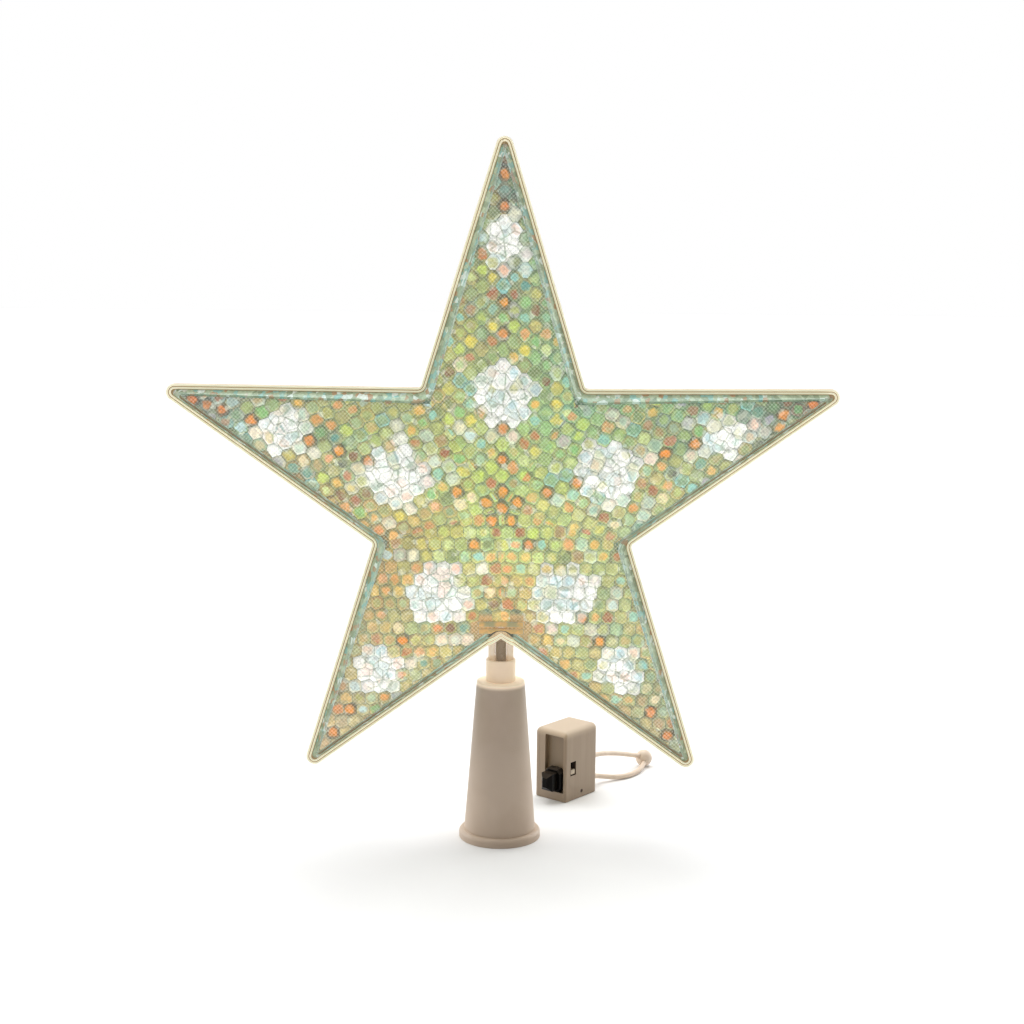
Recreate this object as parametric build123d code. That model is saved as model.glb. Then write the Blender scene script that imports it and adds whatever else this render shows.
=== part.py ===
from build123d import *
import math
import os

# Tree topper: a lit, faceted star on a hollow cone, with its battery box standing behind it.
# Millimetres. Origin at the centre of the cone's foot, +Z up. The star faces -Y.

# Clearances shared by all fits
RUNNING_CLEARANCE = 0.05
SEAT_CLEARANCE = 0.1
LOOSE_CLEARANCE = 0.3

# Cone that goes over the top shoot of the tree
CONE_HEIGHT = 82.3
CONE_FOOT_RADIUS = 18.2
CONE_SHOULDER = 4.65
CONE_WALL = 1.8
CONE_TOP_PLATE = 2.2
CONE_EDGE = 0.8
LIP_WIDTH = 2.6
LIP_HEIGHT = 4.4
LIP_ROUND = 2.0

# Plug socket in the top of the cone
SOCKET_DEPTH = 10.0
SOCKET_WALL = 1.6
SOCKET_FLOOR = 2.2

# Clear neck, its plug collar and the pin inside it
NECK_RADIUS = 6.45
NECK_WALL = 2.65
NECK_SHOWN = 11.7
NECK_FLANGE_WIDTH = 2.4
NECK_FLANGE_HEIGHT = 2.0
NECK_ABOVE_FLANGE = 4.0
COLLAR_WALL = 1.0
COLLAR_SHOWN = 11.3
COLLAR_EDGE = 0.5
LEDGE_WIDTH = 0.9
LEDGE_HEIGHT = 2.0
PIN_GAP = 1.15
PIN_FOOT_HEIGHT = 1.2
PIN_SPIGOT_RADIUS = 1.9
PIN_BELOW_NOTCH = 1.0

# Star outline, sharp corners measured from its centre
TOP_TIP_UP = 189.1
ARM_TIP_OUT = 175.7
ARM_TIP_UP = 58.0
LEG_TIP_OUT = 102.8
LEG_TIP_DOWN = 143.2
UPPER_NOTCH_OUT = 40.9
UPPER_NOTCH_UP = 57.0
LOWER_NOTCH_OUT = 64.8
LOWER_NOTCH_DOWN = 21.5
BOTTOM_NOTCH_DOWN = 68.7
TIP_ROUND = 4.2
INNER_TIP_ROUND = 0.5
NOTCH_ROUND = 2.0

# Star shells and films
SHELL_WALL = 1.6
RIM_WIDTH = 2.2
RIM_THICKNESS = 1.4
SIDE_LEAN_DEGREES = 18.0
TIP_DEPTH = 5.0
ROOF_OVER_NECK = 1.65
RIDGE_RISE = 9.5
FILM_THICKNESS = 0.4
RIB_UP = 4.0
RIB_THICKNESS = 1.6
RIB_BESIDE_NECK = 1.6

# Lamps along each arm, measured from the centre of the star
INNER_LAMP_REACH = 55.0
TOP_LAMP_REACH = 128.0
ARM_LAMP_REACH = 114.0
LEG_LAMP_REACH = 104.0
LAMP_RADIUS = 2.5
LAMP_SHOWN = 4.0
LAMP_SEATED = 4.0
LAMP_RIM_WIDTH = 0.4
LAMP_RIM_HEIGHT = 0.8
HOLDER_WALL = 0.7
HOLDER_NOSE = 6.0
HOLDER_FLANGE_WIDTH = 1.6
HOLDER_FLANGE_HEIGHT = 1.2
HOLDER_TAIL_RADIUS = 3.6
HOLDER_TAIL = 8.0
BOSS_WALL = 2.7
BOSS_RISE = 1.5
BOSS_ROOT = 1.4

# Wiring on the back of the star
WIRE_RADIUS = 0.8
WIRE_PORT = 1.7
WIRE_RISE = 11.0
WIRE_BOW = 3.0
GLAND_DOWN = 36.0
GLAND_WIDTH = 12.0
GLAND_HEIGHT = 8.0
GLAND_DEPTH = 7.0
GLAND_BOSS_MARGIN = 1.0
GLAND_PORT = 3.5
LEAD_RADIUS = 1.6
LEAD_SOCKET = 5.0

# Battery box: place of its front corner and the heading of its longer side
BOX_CORNER_X = 35.4
BOX_CORNER_Y = 49.9
BOX_HEADING_DEGREES = 50.0
BOX_HEIGHT = 39.5
CASE_WALL = 1.5
CASE_TOP_ROUND = 3.0
CASE_FRONT_ROUND = 1.5
CASE_BACK_ROUND = 3.2
CASE_FOOT_ROUND = 0.6
DOOR_THICKNESS = 2.7

# Power slider in its recess
RECESS_DEPTH = 2.6
RECESS_WIDTH = 12.8
RECESS_UP = 5.0
RECESS_BELOW_TOP = 3.0
RECESS_ROUND = 0.8
KNOB_TRAVEL = 4.0
KNOB_HEIGHT = 13.2
KNOB_PROUD = 1.6
KNOB_SIDE_GAP = 0.8
KNOB_CORNER = 2.2
KNOB_EDGE = 0.8
GRIP_WIDTH = 7.4
GRIP_HEIGHT = 9.6
GRIP_PROUD = 8.4
GRIP_CUT = 2.2
STEM_WIDTH = 2.4
STEM_HEIGHT = 5.0
STEM_INSIDE = 2.0
BRIDGE_THICKNESS = 0.4
POWER_BODY_WIDTH = 4.4
POWER_BODY_DEPTH = 5.0
POWER_BODY_END = 1.6

# Mode slider in its window
MODE_X = 6.8
MODE_BELOW_MIDDLE = 5.6
MODE_WINDOW_WIDTH = 4.8
MODE_WINDOW_HEIGHT = 7.8
MODE_KNOB_HEIGHT = 2.6
MODE_KNOB_SUNK = 0.3
MODE_KNOB_GAP = 0.7
MODE_STEM_WIDTH = 2.0
MODE_STEM_DEPTH = 1.6
MODE_BODY_WIDTH = 5.0
MODE_BODY_DEPTH = 3.0
MODE_BODY_END = 1.4

# Indicator, board, cells and contacts
INDICATOR_RADIUS = 1.0
INDICATOR_X = 14.5
INDICATOR_UP = 3.6
INDICATOR_SUNK = 0.3
BOARD_THICKNESS = 1.2
CELL_RADIUS = 10.0
CELL_THICKNESS = 3.2
TRAY_FLOOR = 0.8
TRAY_RIM = 1.5
LEAF_THICKNESS = 0.3
LEAF_SPRING = 0.3
LEAF_WIDTH = 5.0
LEAF_PAD = 1.5
PLATE_THICKNESS = 0.3
PLATE_WIDTH = 6.0
TAB_WIDTH = 2.0
POST_RADIUS = 1.1
POST_STEP = 0.8
SCREW_RADIUS = 1.0
SCREW_LENGTH = 7.0
SCREW_HEAD_RADIUS = 2.0
SCREW_HEAD_HEIGHT = 1.2
SCREW_SLOT_WIDTH = 0.5
SCREW_SLOT_DEPTH = 0.5
SCREW_WALL = 1.2

# Lead gland of the box
BOX_GLAND_RADIUS = 2.6
BOX_GLAND_FLANGE = 1.2
BOX_GLAND_PROUD = 2.0
BOX_GLAND_UP = 28.0

# Hanging loop: a limp cord in two strands that end in one bead
LOOP_RADIUS = 1.4
LOOP_SOCKET = 1.5
LOOP_STRAIGHT = 4.0
LOOP_BACKING = 2.5
LOOP_UPPER_UP = 17.5
LOOP_LOWER_UP = 6.0
BEAD_RADIUS = 4.8
BEAD_CENTRE = (83.3, 118.0, 4.9)
UPPER_ROUTE = [
    (56.0, 87.2, 16.8),
    (63.2, 96.2, 14.3),
    (71.4, 105.8, 10.9),
    (77.8, 113.0, 7.9),
    (81.9, 117.4, 6.1),
]
LOWER_ROUTE = [
    (57.2, 87.3, 3.5),
    (65.6, 91.0, 1.6),
    (73.2, 95.3, 1.5),
    (78.9, 102.8, 1.6),
    (82.4, 110.7, 2.5),
    (83.9, 116.0, 3.8),
]

# Heights and radii that follow from the sizes above
COLLAR_BORE = NECK_RADIUS + RUNNING_CLEARANCE
COLLAR_RADIUS = COLLAR_BORE + COLLAR_WALL
SOCKET_RADIUS = COLLAR_RADIUS + RUNNING_CLEARANCE
CONE_TOP_RADIUS = SOCKET_RADIUS + CONE_SHOULDER
LIP_RADIUS = CONE_FOOT_RADIUS + LIP_WIDTH
SOCKET_BASE = CONE_HEIGHT - SOCKET_DEPTH
COLLAR_TOP = CONE_HEIGHT + COLLAR_SHOWN
LEDGE_TOP = SOCKET_BASE + LEDGE_HEIGHT
LEDGE_HOLE = COLLAR_BORE - LEDGE_WIDTH
NECK_BORE = NECK_RADIUS - NECK_WALL
PIN_RADIUS = NECK_BORE - PIN_GAP
PIN_FOOT_RADIUS = LEDGE_HOLE - LOOSE_CLEARANCE
NOTCH_Z = COLLAR_TOP + NECK_SHOWN
CENTRE_Z = NOTCH_Z + BOTTOM_NOTCH_DOWN
NECK_FLANGE_RADIUS = NECK_RADIUS + NECK_FLANGE_WIDTH
NOTCH_DEPTH = NECK_FLANGE_RADIUS + ROOF_OVER_NECK
APEX_DEPTH = NOTCH_DEPTH + RIDGE_RISE
FLANGE_UP = RIB_UP + RIB_THICKNESS + SEAT_CLEARANCE
UPPER_RIB_UP = FLANGE_UP + NECK_FLANGE_HEIGHT + SEAT_CLEARANCE
FILM_DROP = SHELL_WALL + LOOSE_CLEARANCE

# Layers of the box from its side wall to its door, then its length
BOARD_Y = CASE_WALL + MODE_BODY_DEPTH
POWER_BODY_Y = BOARD_Y + BOARD_THICKNESS + SEAT_CLEARANCE
KNOB_Y = POWER_BODY_Y + POWER_BODY_WIDTH / 2
TRAY_Y = POWER_BODY_Y + POWER_BODY_WIDTH + SEAT_CLEARANCE
LEAF_Y = TRAY_Y + TRAY_FLOOR
CELL_Y = LEAF_Y + LEAF_THICKNESS + LEAF_SPRING
PLATE_Y = CELL_Y + 2 * CELL_THICKNESS
DOOR_Y = PLATE_Y + PLATE_THICKNESS + SEAT_CLEARANCE
BOX_WIDTH = DOOR_Y + DOOR_THICKNESS
INNER_X = RECESS_DEPTH + CASE_WALL
TRAY_RADIUS = CELL_RADIUS + SEAT_CLEARANCE + TRAY_RIM
CELL_X = INNER_X + SEAT_CLEARANCE + TRAY_RADIUS
BACK_X = CELL_X + TRAY_RADIUS + SEAT_CLEARANCE
BOX_LENGTH = BACK_X + CASE_WALL
CELL_Z = BOX_HEIGHT / 2
MODE_UP = CELL_Z - MODE_BELOW_MIDDLE
RECESS_HEIGHT = BOX_HEIGHT - RECESS_UP - RECESS_BELOW_TOP
ROOM_TOP = BOX_HEIGHT - CASE_WALL
SCREW_COLUMN = 2 * (SCREW_RADIUS + SCREW_WALL)
SCREW_X = BACK_X - SCREW_COLUMN / 2
SCREW_Z = CASE_WALL + SCREW_COLUMN / 2

LOW = (Align.CENTER, Align.CENTER, Align.MIN)
CORNER = (Align.MIN, Align.MIN, Align.MIN)
FRONT = Plane.XZ


def save(name, shape):
    export_step(shape, f"parts/{name}.step")


# Turned pieces, rods and blocks


def turned(*points):
    profile = make_face(Polyline(*[(radius, 0, z) for radius, z in points], close=True))
    return revolve(profile, Axis.Z)


def edge_at(shape, z, radius):
    circles = shape.edges().filter_by(GeomType.CIRCLE)
    return min(circles, key=lambda edge: abs(edge.center().Z - z) + abs(edge.radius - radius))


def rod(x, z, start, end, radius):
    seat = Plane(origin=(x, start, z), z_dir=(0, 1, 0))
    return seat * Cylinder(radius, end - start, align=LOW)


def block(x0, x1, y0, y1, z0, z1):
    return Pos(x0, y0, z0) * Box(x1 - x0, y1 - y0, z1 - z0, align=CORNER)


# A cord's tube: straight runs joined by arcs as large as the runs allow


def bend_radii(points, arc_share_of_run=0.45):
    radii = []
    for before, here, after in zip(points, points[1:], points[2:]):
        arriving = here - before
        leaving = after - here
        turn = math.radians(arriving.get_angle(leaving))
        shorter = min(arriving.length, leaving.length)
        radii.append(arc_share_of_run * shorter / math.tan(turn / 2))
    return radii


def cord_tube(name, route, radius):
    points = [Vector(*point) for point in route]
    radii = bend_radii(points)
    path = FilletPolyline(*points, radius=radii)
    section = Plane(origin=points[0], z_dir=points[1] - points[0]) * Circle(radius)
    tube = sweep(section, path=path)
    share = tube.volume / (math.pi * radius**2 * path.length)
    print(f"{name}: length {path.length:.1f}, least bend {min(radii):.1f}, volume share {share:.4f}")
    return tube


# Cone, pin, collar and neck


def cone_radius(z):
    share = (z - LIP_HEIGHT) / (CONE_HEIGHT - LIP_HEIGHT)
    return CONE_FOOT_RADIUS + (CONE_TOP_RADIUS - CONE_FOOT_RADIUS) * share


def make_cone_base():
    plate_under = CONE_HEIGHT - CONE_TOP_PLATE
    cup_radius = SOCKET_RADIUS + SOCKET_WALL
    cup_under = SOCKET_BASE - SOCKET_FLOOR
    pin_hole = PIN_SPIGOT_RADIUS + RUNNING_CLEARANCE
    cone = turned(
        (LIP_RADIUS, 0),
        (LIP_RADIUS, LIP_HEIGHT),
        (CONE_FOOT_RADIUS, LIP_HEIGHT),
        (CONE_TOP_RADIUS, CONE_HEIGHT),
        (SOCKET_RADIUS, CONE_HEIGHT),
        (SOCKET_RADIUS, SOCKET_BASE),
        (pin_hole, SOCKET_BASE),
        (pin_hole, cup_under),
        (cup_radius, cup_under),
        (cup_radius, plate_under),
        (cone_radius(plate_under) - CONE_WALL, plate_under),
        (cone_radius(0) - CONE_WALL, 0),
    )
    cone = fillet(edge_at(cone, LIP_HEIGHT, LIP_RADIUS), LIP_ROUND)
    return fillet(edge_at(cone, CONE_HEIGHT, CONE_TOP_RADIUS), CONE_EDGE)


def make_centre_pin():
    foot_top = SOCKET_BASE + PIN_FOOT_HEIGHT
    dome_centre = NOTCH_Z - PIN_BELOW_NOTCH - PIN_RADIUS
    pin = turned(
        (0, SOCKET_BASE - SOCKET_FLOOR),
        (PIN_SPIGOT_RADIUS, SOCKET_BASE - SOCKET_FLOOR),
        (PIN_SPIGOT_RADIUS, SOCKET_BASE),
        (PIN_FOOT_RADIUS, SOCKET_BASE),
        (PIN_FOOT_RADIUS, foot_top),
        (PIN_RADIUS, foot_top),
        (PIN_RADIUS, dome_centre),
        (0, dome_centre),
    )
    return pin + Pos(0, 0, dome_centre) * Sphere(PIN_RADIUS)


def make_neck_collar():
    collar = turned(
        (COLLAR_RADIUS, SOCKET_BASE),
        (COLLAR_RADIUS, COLLAR_TOP),
        (COLLAR_BORE, COLLAR_TOP),
        (COLLAR_BORE, LEDGE_TOP),
        (LEDGE_HOLE, LEDGE_TOP),
        (LEDGE_HOLE, SOCKET_BASE),
    )
    return fillet(edge_at(collar, COLLAR_TOP, COLLAR_RADIUS), COLLAR_EDGE)


def make_neck_tube():
    flange_under = NOTCH_Z + FLANGE_UP
    flange_top = flange_under + NECK_FLANGE_HEIGHT
    neck_top = flange_top + NECK_ABOVE_FLANGE
    return turned(
        (NECK_BORE, LEDGE_TOP),
        (NECK_RADIUS, LEDGE_TOP),
        (NECK_RADIUS, flange_under),
        (NECK_FLANGE_RADIUS, flange_under),
        (NECK_FLANGE_RADIUS, flange_top),
        (NECK_RADIUS, flange_top),
        (NECK_RADIUS, neck_top),
        (NECK_BORE, neck_top),
    )


# Star halves: a leaning side wall cut off by a roof of ten facets. Star pieces are made round the
# star's own centre, and placed at the end.

HALF_CORNERS = [
    (UPPER_NOTCH_OUT, UPPER_NOTCH_UP),
    (ARM_TIP_OUT, ARM_TIP_UP),
    (LOWER_NOTCH_OUT, -LOWER_NOTCH_DOWN),
    (LEG_TIP_OUT, -LEG_TIP_DOWN),
]
STAR_CORNERS = [
    Vector(0, 0, TOP_TIP_UP),
    *[Vector(x, 0, z) for x, z in HALF_CORNERS],
    Vector(0, 0, -BOTTOM_NOTCH_DOWN),
    *[Vector(-x, 0, z) for x, z in reversed(HALF_CORNERS)],
]
TIPS = STAR_CORNERS[0::2]
FACING = Vector(0, -1, 0)
ROOF_OVERHANG = 1.1


def inset_corners(inset):
    corners = []
    for index, corner in enumerate(STAR_CORNERS):
        before = STAR_CORNERS[index - 1]
        after = STAR_CORNERS[(index + 1) % len(STAR_CORNERS)]
        inward_before = FACING.cross(before - corner).normalized()
        inward_after = FACING.cross(corner - after).normalized()
        both = inward_before + inward_after
        corners.append(corner + both * (inset / (1 + inward_before.dot(inward_after))))
    return corners


def star_face(inset, depth):
    corners = [corner + FACING * depth for corner in inset_corners(inset)]
    tip_round = max(TIP_ROUND - inset, INNER_TIP_ROUND)
    rounds = [tip_round, NOTCH_ROUND + inset] * len(TIPS)
    return make_face(FilletPolyline(*corners, radius=rounds, close=True))


def leaning_block(inset):
    height = APEX_DEPTH + RIM_THICKNESS
    lean = height * math.tan(math.radians(SIDE_LEAN_DEGREES))
    return loft([star_face(inset, 0), star_face(inset + lean, height)], ruled=True)


def roof(drop):
    apex = FACING * (APEX_DEPTH - drop)
    behind = Vector(0, RIM_THICKNESS, 0)
    eaves = []
    for index, corner in enumerate(STAR_CORNERS):
        depth = TIP_DEPTH if index % 2 == 0 else NOTCH_DEPTH
        eave = corner + FACING * (depth - drop)
        eaves.append(apex + (eave - apex) * ROOF_OVERHANG)
    feet = [Vector(eave.X, 0, eave.Z) + behind for eave in eaves]
    faces = [Face(Wire.make_polygon(feet))]
    for index in range(len(eaves)):
        one = eaves[index - 1]
        two = eaves[index]
        faces.append(Face(Wire.make_polygon([apex, one, two])))
        faces.append(Face(Wire.make_polygon([one, feet[index - 1], feet[index], two])))
    return Solid(Shell(faces))


def neck_rib(up):
    half = NECK_FLANGE_RADIUS + RIB_BESIDE_NECK
    under = up - BOTTOM_NOTCH_DOWN
    return block(-half, half, -APEX_DEPTH, 0, under, under + RIB_THICKNESS)


def make_half_shell():
    outside = leaning_block(RIM_WIDTH) & roof(0)
    inside = leaning_block(RIM_WIDTH + SHELL_WALL) & roof(SHELL_WALL)
    rim = extrude(star_face(0, 0), amount=RIM_THICKNESS, dir=FACING)
    ribs = outside & (neck_rib(RIB_UP) + neck_rib(UPPER_RIB_UP))
    neck_way = Pos(0, 0, -NOTCH_Z - BOTTOM_NOTCH_DOWN) * make_neck_way()
    return outside + rim - inside + ribs - neck_way


def make_neck_way():
    flange_under = NOTCH_Z + FLANGE_UP - SEAT_CLEARANCE
    flange_top = NOTCH_Z + UPPER_RIB_UP
    rib_top = flange_top + RIB_THICKNESS + SEAT_CLEARANCE
    channel = NECK_RADIUS + SEAT_CLEARANCE
    groove = NECK_FLANGE_RADIUS + SEAT_CLEARANCE
    return turned(
        (0, LEDGE_TOP),
        (channel, LEDGE_TOP),
        (channel, flange_under),
        (groove, flange_under),
        (groove, flange_top),
        (channel, flange_top),
        (channel, rib_top),
        (0, rib_top),
    )


def rib_slot(up):
    half = NECK_FLANGE_RADIUS + RIB_BESIDE_NECK + LOOSE_CLEARANCE
    under = up - BOTTOM_NOTCH_DOWN - LOOSE_CLEARANCE
    return block(-half, half, -APEX_DEPTH, 0, under, under + RIB_THICKNESS + 2 * LOOSE_CLEARANCE)


def make_half_film():
    sheet = leaning_block(RIM_WIDTH + FILM_DROP) & roof(FILM_DROP)
    sheet = sheet - roof(FILM_DROP + FILM_THICKNESS)
    return sheet - rib_slot(RIB_UP) - rib_slot(UPPER_RIB_UP)


# Lamps: two on the ridge of each arm, each in a push-in holder on a boss of the back shell


class LampPlace:
    def __init__(self, tip, reach):
        self.along = tip.normalized()
        self.clockwise = self.along.cross(FACING)
        self.x = self.along.X * reach
        self.z = self.along.Z * reach
        ridge = APEX_DEPTH - (APEX_DEPTH - TIP_DEPTH) * reach / tip.length
        self.wall_y = ridge
        self.seat_y = ridge + BOSS_RISE
        self.nose_y = self.seat_y - HOLDER_NOSE
        self.tail_y = self.seat_y + HOLDER_FLANGE_HEIGHT + HOLDER_TAIL

    def port(self, side):
        return Vector(self.x, self.tail_y, self.z) + self.clockwise * (side * WIRE_PORT)


OUTER_REACHES = [TOP_LAMP_REACH, ARM_LAMP_REACH, LEG_LAMP_REACH, LEG_LAMP_REACH, ARM_LAMP_REACH]
ARMS = list(zip(TIPS, OUTER_REACHES))
ARMS_FROM_LEFT_LEG = ARMS[3:] + ARMS[:3]
LAMP_PLACES = []
for tip, outer_reach in ARMS_FROM_LEFT_LEG:
    LAMP_PLACES.append(LampPlace(tip, INNER_LAMP_REACH))
    LAMP_PLACES.append(LampPlace(tip, outer_reach))

NOSE_RADIUS = LAMP_RADIUS + RUNNING_CLEARANCE + HOLDER_WALL
NOSE_HOLE = NOSE_RADIUS + SEAT_CLEARANCE
GLAND_SLOPE = (APEX_DEPTH - NOTCH_DEPTH) / BOTTOM_NOTCH_DOWN
GLAND_WALL_Y = APEX_DEPTH - GLAND_SLOPE * GLAND_DOWN
GLAND_SEAT_Y = GLAND_WALL_Y + BOSS_RISE


def make_back_shell(half_shell):
    shell = mirror(half_shell, about=FRONT)
    for place in LAMP_PLACES:
        root = place.wall_y - BOSS_ROOT
        shell = shell + rod(place.x, place.z, root, place.seat_y, NOSE_HOLE + BOSS_WALL)
    half_width = GLAND_WIDTH / 2 + GLAND_BOSS_MARGIN
    half_height = GLAND_HEIGHT / 2 + GLAND_BOSS_MARGIN
    boss_root = GLAND_WALL_Y - BOSS_ROOT
    boss_under = -GLAND_DOWN - half_height
    boss_top = -GLAND_DOWN + half_height
    shell = shell + block(-half_width, half_width, boss_root, GLAND_SEAT_Y, boss_under, boss_top)
    for place in LAMP_PLACES:
        shell = shell - rod(place.x, place.z, place.wall_y - 2 * BOSS_ROOT, place.seat_y, NOSE_HOLE)
    return shell


def make_back_film(half_film):
    film = mirror(half_film, about=FRONT)
    nose_gap = NOSE_HOLE + LOOSE_CLEARANCE
    for place in LAMP_PLACES:
        film = film - rod(place.x, place.z, 0, place.seat_y, nose_gap)
    half_width = GLAND_WIDTH / 2 + GLAND_BOSS_MARGIN + LOOSE_CLEARANCE
    half_height = GLAND_HEIGHT / 2 + GLAND_BOSS_MARGIN + LOOSE_CLEARANCE
    return film - block(
        -half_width, half_width, 0, APEX_DEPTH, -GLAND_DOWN - half_height, -GLAND_DOWN + half_height
    )


def make_lamp_holder(place):
    flange_y = place.seat_y + HOLDER_FLANGE_HEIGHT
    nose = rod(place.x, place.z, place.nose_y, place.seat_y, NOSE_RADIUS)
    flange = rod(place.x, place.z, place.seat_y, flange_y, NOSE_RADIUS + HOLDER_FLANGE_WIDTH)
    tail = rod(place.x, place.z, flange_y, place.tail_y, HOLDER_TAIL_RADIUS)
    bore_end = place.nose_y + LAMP_SEATED
    bore = rod(place.x, place.z, place.nose_y, bore_end, LAMP_RADIUS + RUNNING_CLEARANCE)
    return nose + flange + tail - bore


def make_led_lamp(place):
    dome_y = place.nose_y - LAMP_SHOWN
    body = rod(place.x, place.z, dome_y, place.nose_y + LAMP_SEATED, LAMP_RADIUS)
    rim_y = place.nose_y - LAMP_RIM_HEIGHT
    rim = rod(place.x, place.z, rim_y, place.nose_y, LAMP_RADIUS + LAMP_RIM_WIDTH)
    return body + rim + Pos(place.x, dome_y, place.z) * Sphere(LAMP_RADIUS)


def holder_span(start, end):
    rise = Vector(0, WIRE_RISE, 0)
    middle = (start + end) * 0.5 + rise + Vector(0, WIRE_BOW, 0)
    return [start, start + rise, middle, end + rise, end]


def gland_port(side):
    return Vector(side * GLAND_PORT, GLAND_SEAT_Y + GLAND_DEPTH, -GLAND_DOWN)


def make_light_wires():
    routes = [holder_span(gland_port(-1), LAMP_PLACES[0].port(-1))]
    for one, two in zip(LAMP_PLACES, LAMP_PLACES[1:]):
        routes.append(holder_span(one.port(1), two.port(-1)))
    routes.append(holder_span(LAMP_PLACES[-1].port(1), gland_port(1)))
    spans = [cord_tube(f"wire {number}", route, WIRE_RADIUS) for number, route in enumerate(routes, 1)]
    return Compound(children=spans)


def make_star_lead_gland():
    under = -GLAND_DOWN - GLAND_HEIGHT / 2
    top = -GLAND_DOWN + GLAND_HEIGHT / 2
    outside = GLAND_SEAT_Y + GLAND_DEPTH
    gland = block(-GLAND_WIDTH / 2, GLAND_WIDTH / 2, GLAND_SEAT_Y, outside, under, top)
    return gland - rod(0, -GLAND_DOWN, outside - LEAD_SOCKET, outside, LEAD_RADIUS)


# Battery box, made in its own corner frame: X along the longer side, Y towards the door


def make_box_outside():
    solid = block(0, BOX_LENGTH, 0, BOX_WIDTH, 0, BOX_HEIGHT)
    uprights = solid.edges().filter_by(Axis.Z).sort_by(Axis.X)
    solid = fillet(uprights[:2], CASE_FRONT_ROUND)
    uprights = solid.edges().filter_by(Axis.Z).sort_by(Axis.X)
    solid = fillet(uprights[-2:], CASE_BACK_ROUND)
    solid = fillet(solid.faces().sort_by(Axis.Z)[-1].edges(), CASE_TOP_ROUND)
    return fillet(solid.faces().sort_by(Axis.Z)[0].edges(), CASE_FOOT_ROUND)


KNOB_Z = RECESS_UP + LOOSE_CLEARANCE
STEM_Z = KNOB_Z + (KNOB_HEIGHT - STEM_HEIGHT) / 2
SLOT_Z = STEM_Z - LOOSE_CLEARANCE
SLOT_TOP = STEM_Z + STEM_HEIGHT + KNOB_TRAVEL + LOOSE_CLEARANCE
MODE_TRAVEL = MODE_WINDOW_HEIGHT - MODE_KNOB_HEIGHT - 2 * MODE_KNOB_GAP
POST_X = INNER_X + POWER_BODY_DEPTH + LOOSE_CLEARANCE + POST_RADIUS
POST_UP = TRAY_RADIUS - POST_RADIUS
POSTS = [(x, CELL_Z + side * POST_UP) for x in (POST_X, 2 * CELL_X - POST_X) for side in (-1, 1)]
LOOP_Y = KNOB_Y


def make_recess():
    half = RECESS_WIDTH / 2
    top = RECESS_UP + RECESS_HEIGHT
    recess = block(-RECESS_DEPTH, RECESS_DEPTH, KNOB_Y - half, KNOB_Y + half, RECESS_UP, top)
    return fillet(recess.edges().filter_by(Axis.X), RECESS_ROUND)


def make_case_body(outside):
    body = outside & block(0, BOX_LENGTH, 0, DOOR_Y - SEAT_CLEARANCE, 0, BOX_HEIGHT)
    body = body - block(INNER_X, BACK_X, CASE_WALL, BOX_WIDTH, CASE_WALL, ROOM_TOP)
    for x, z in POSTS:
        body = body + rod(x, z, CASE_WALL / 2, BOARD_Y, POST_RADIUS + POST_STEP)
        body = body + rod(x, z, CASE_WALL / 2, TRAY_Y, POST_RADIUS)
    column_x = BACK_X - SCREW_COLUMN
    column_top = CASE_WALL + SCREW_COLUMN
    door_seat = DOOR_Y - SEAT_CLEARANCE
    body = body + block(column_x, BACK_X, CASE_WALL, door_seat, CASE_WALL, column_top)
    body = body - rod(SCREW_X, SCREW_Z, DOOR_Y - SCREW_LENGTH, DOOR_Y, SCREW_RADIUS + RUNNING_CLEARANCE)
    loop_half = LOOP_RADIUS + SEAT_CLEARANCE + CASE_WALL / 2
    for up in (LOOP_LOWER_UP, LOOP_UPPER_UP):
        backing_x = BACK_X - LOOP_BACKING
        body = body + block(
            backing_x, BACK_X, LOOP_Y - loop_half, LOOP_Y + loop_half, up - loop_half, up + loop_half
        )
        socket = Plane(origin=(BOX_LENGTH, LOOP_Y, up), z_dir=(-1, 0, 0))
        body = body - socket * Cylinder(LOOP_RADIUS + SEAT_CLEARANCE, LOOP_SOCKET, align=LOW)
    half_slot = STEM_WIDTH / 2 + SEAT_CLEARANCE
    body = body - make_recess()
    body = body - block(0, INNER_X, KNOB_Y - half_slot, KNOB_Y + half_slot, SLOT_Z, SLOT_TOP)
    half_window = MODE_WINDOW_WIDTH / 2
    body = body - block(
        MODE_X - half_window, MODE_X + half_window, 0, CASE_WALL, MODE_UP, MODE_UP + MODE_WINDOW_HEIGHT
    )
    body = body - rod(INDICATOR_X, INDICATOR_UP, 0, CASE_WALL, INDICATOR_RADIUS + SEAT_CLEARANCE)
    gland_hole = Plane(origin=(BACK_X, LOOP_Y, BOX_GLAND_UP), z_dir=(1, 0, 0))
    return body - gland_hole * Cylinder(BOX_GLAND_RADIUS + SEAT_CLEARANCE, CASE_WALL, align=LOW)


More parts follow.
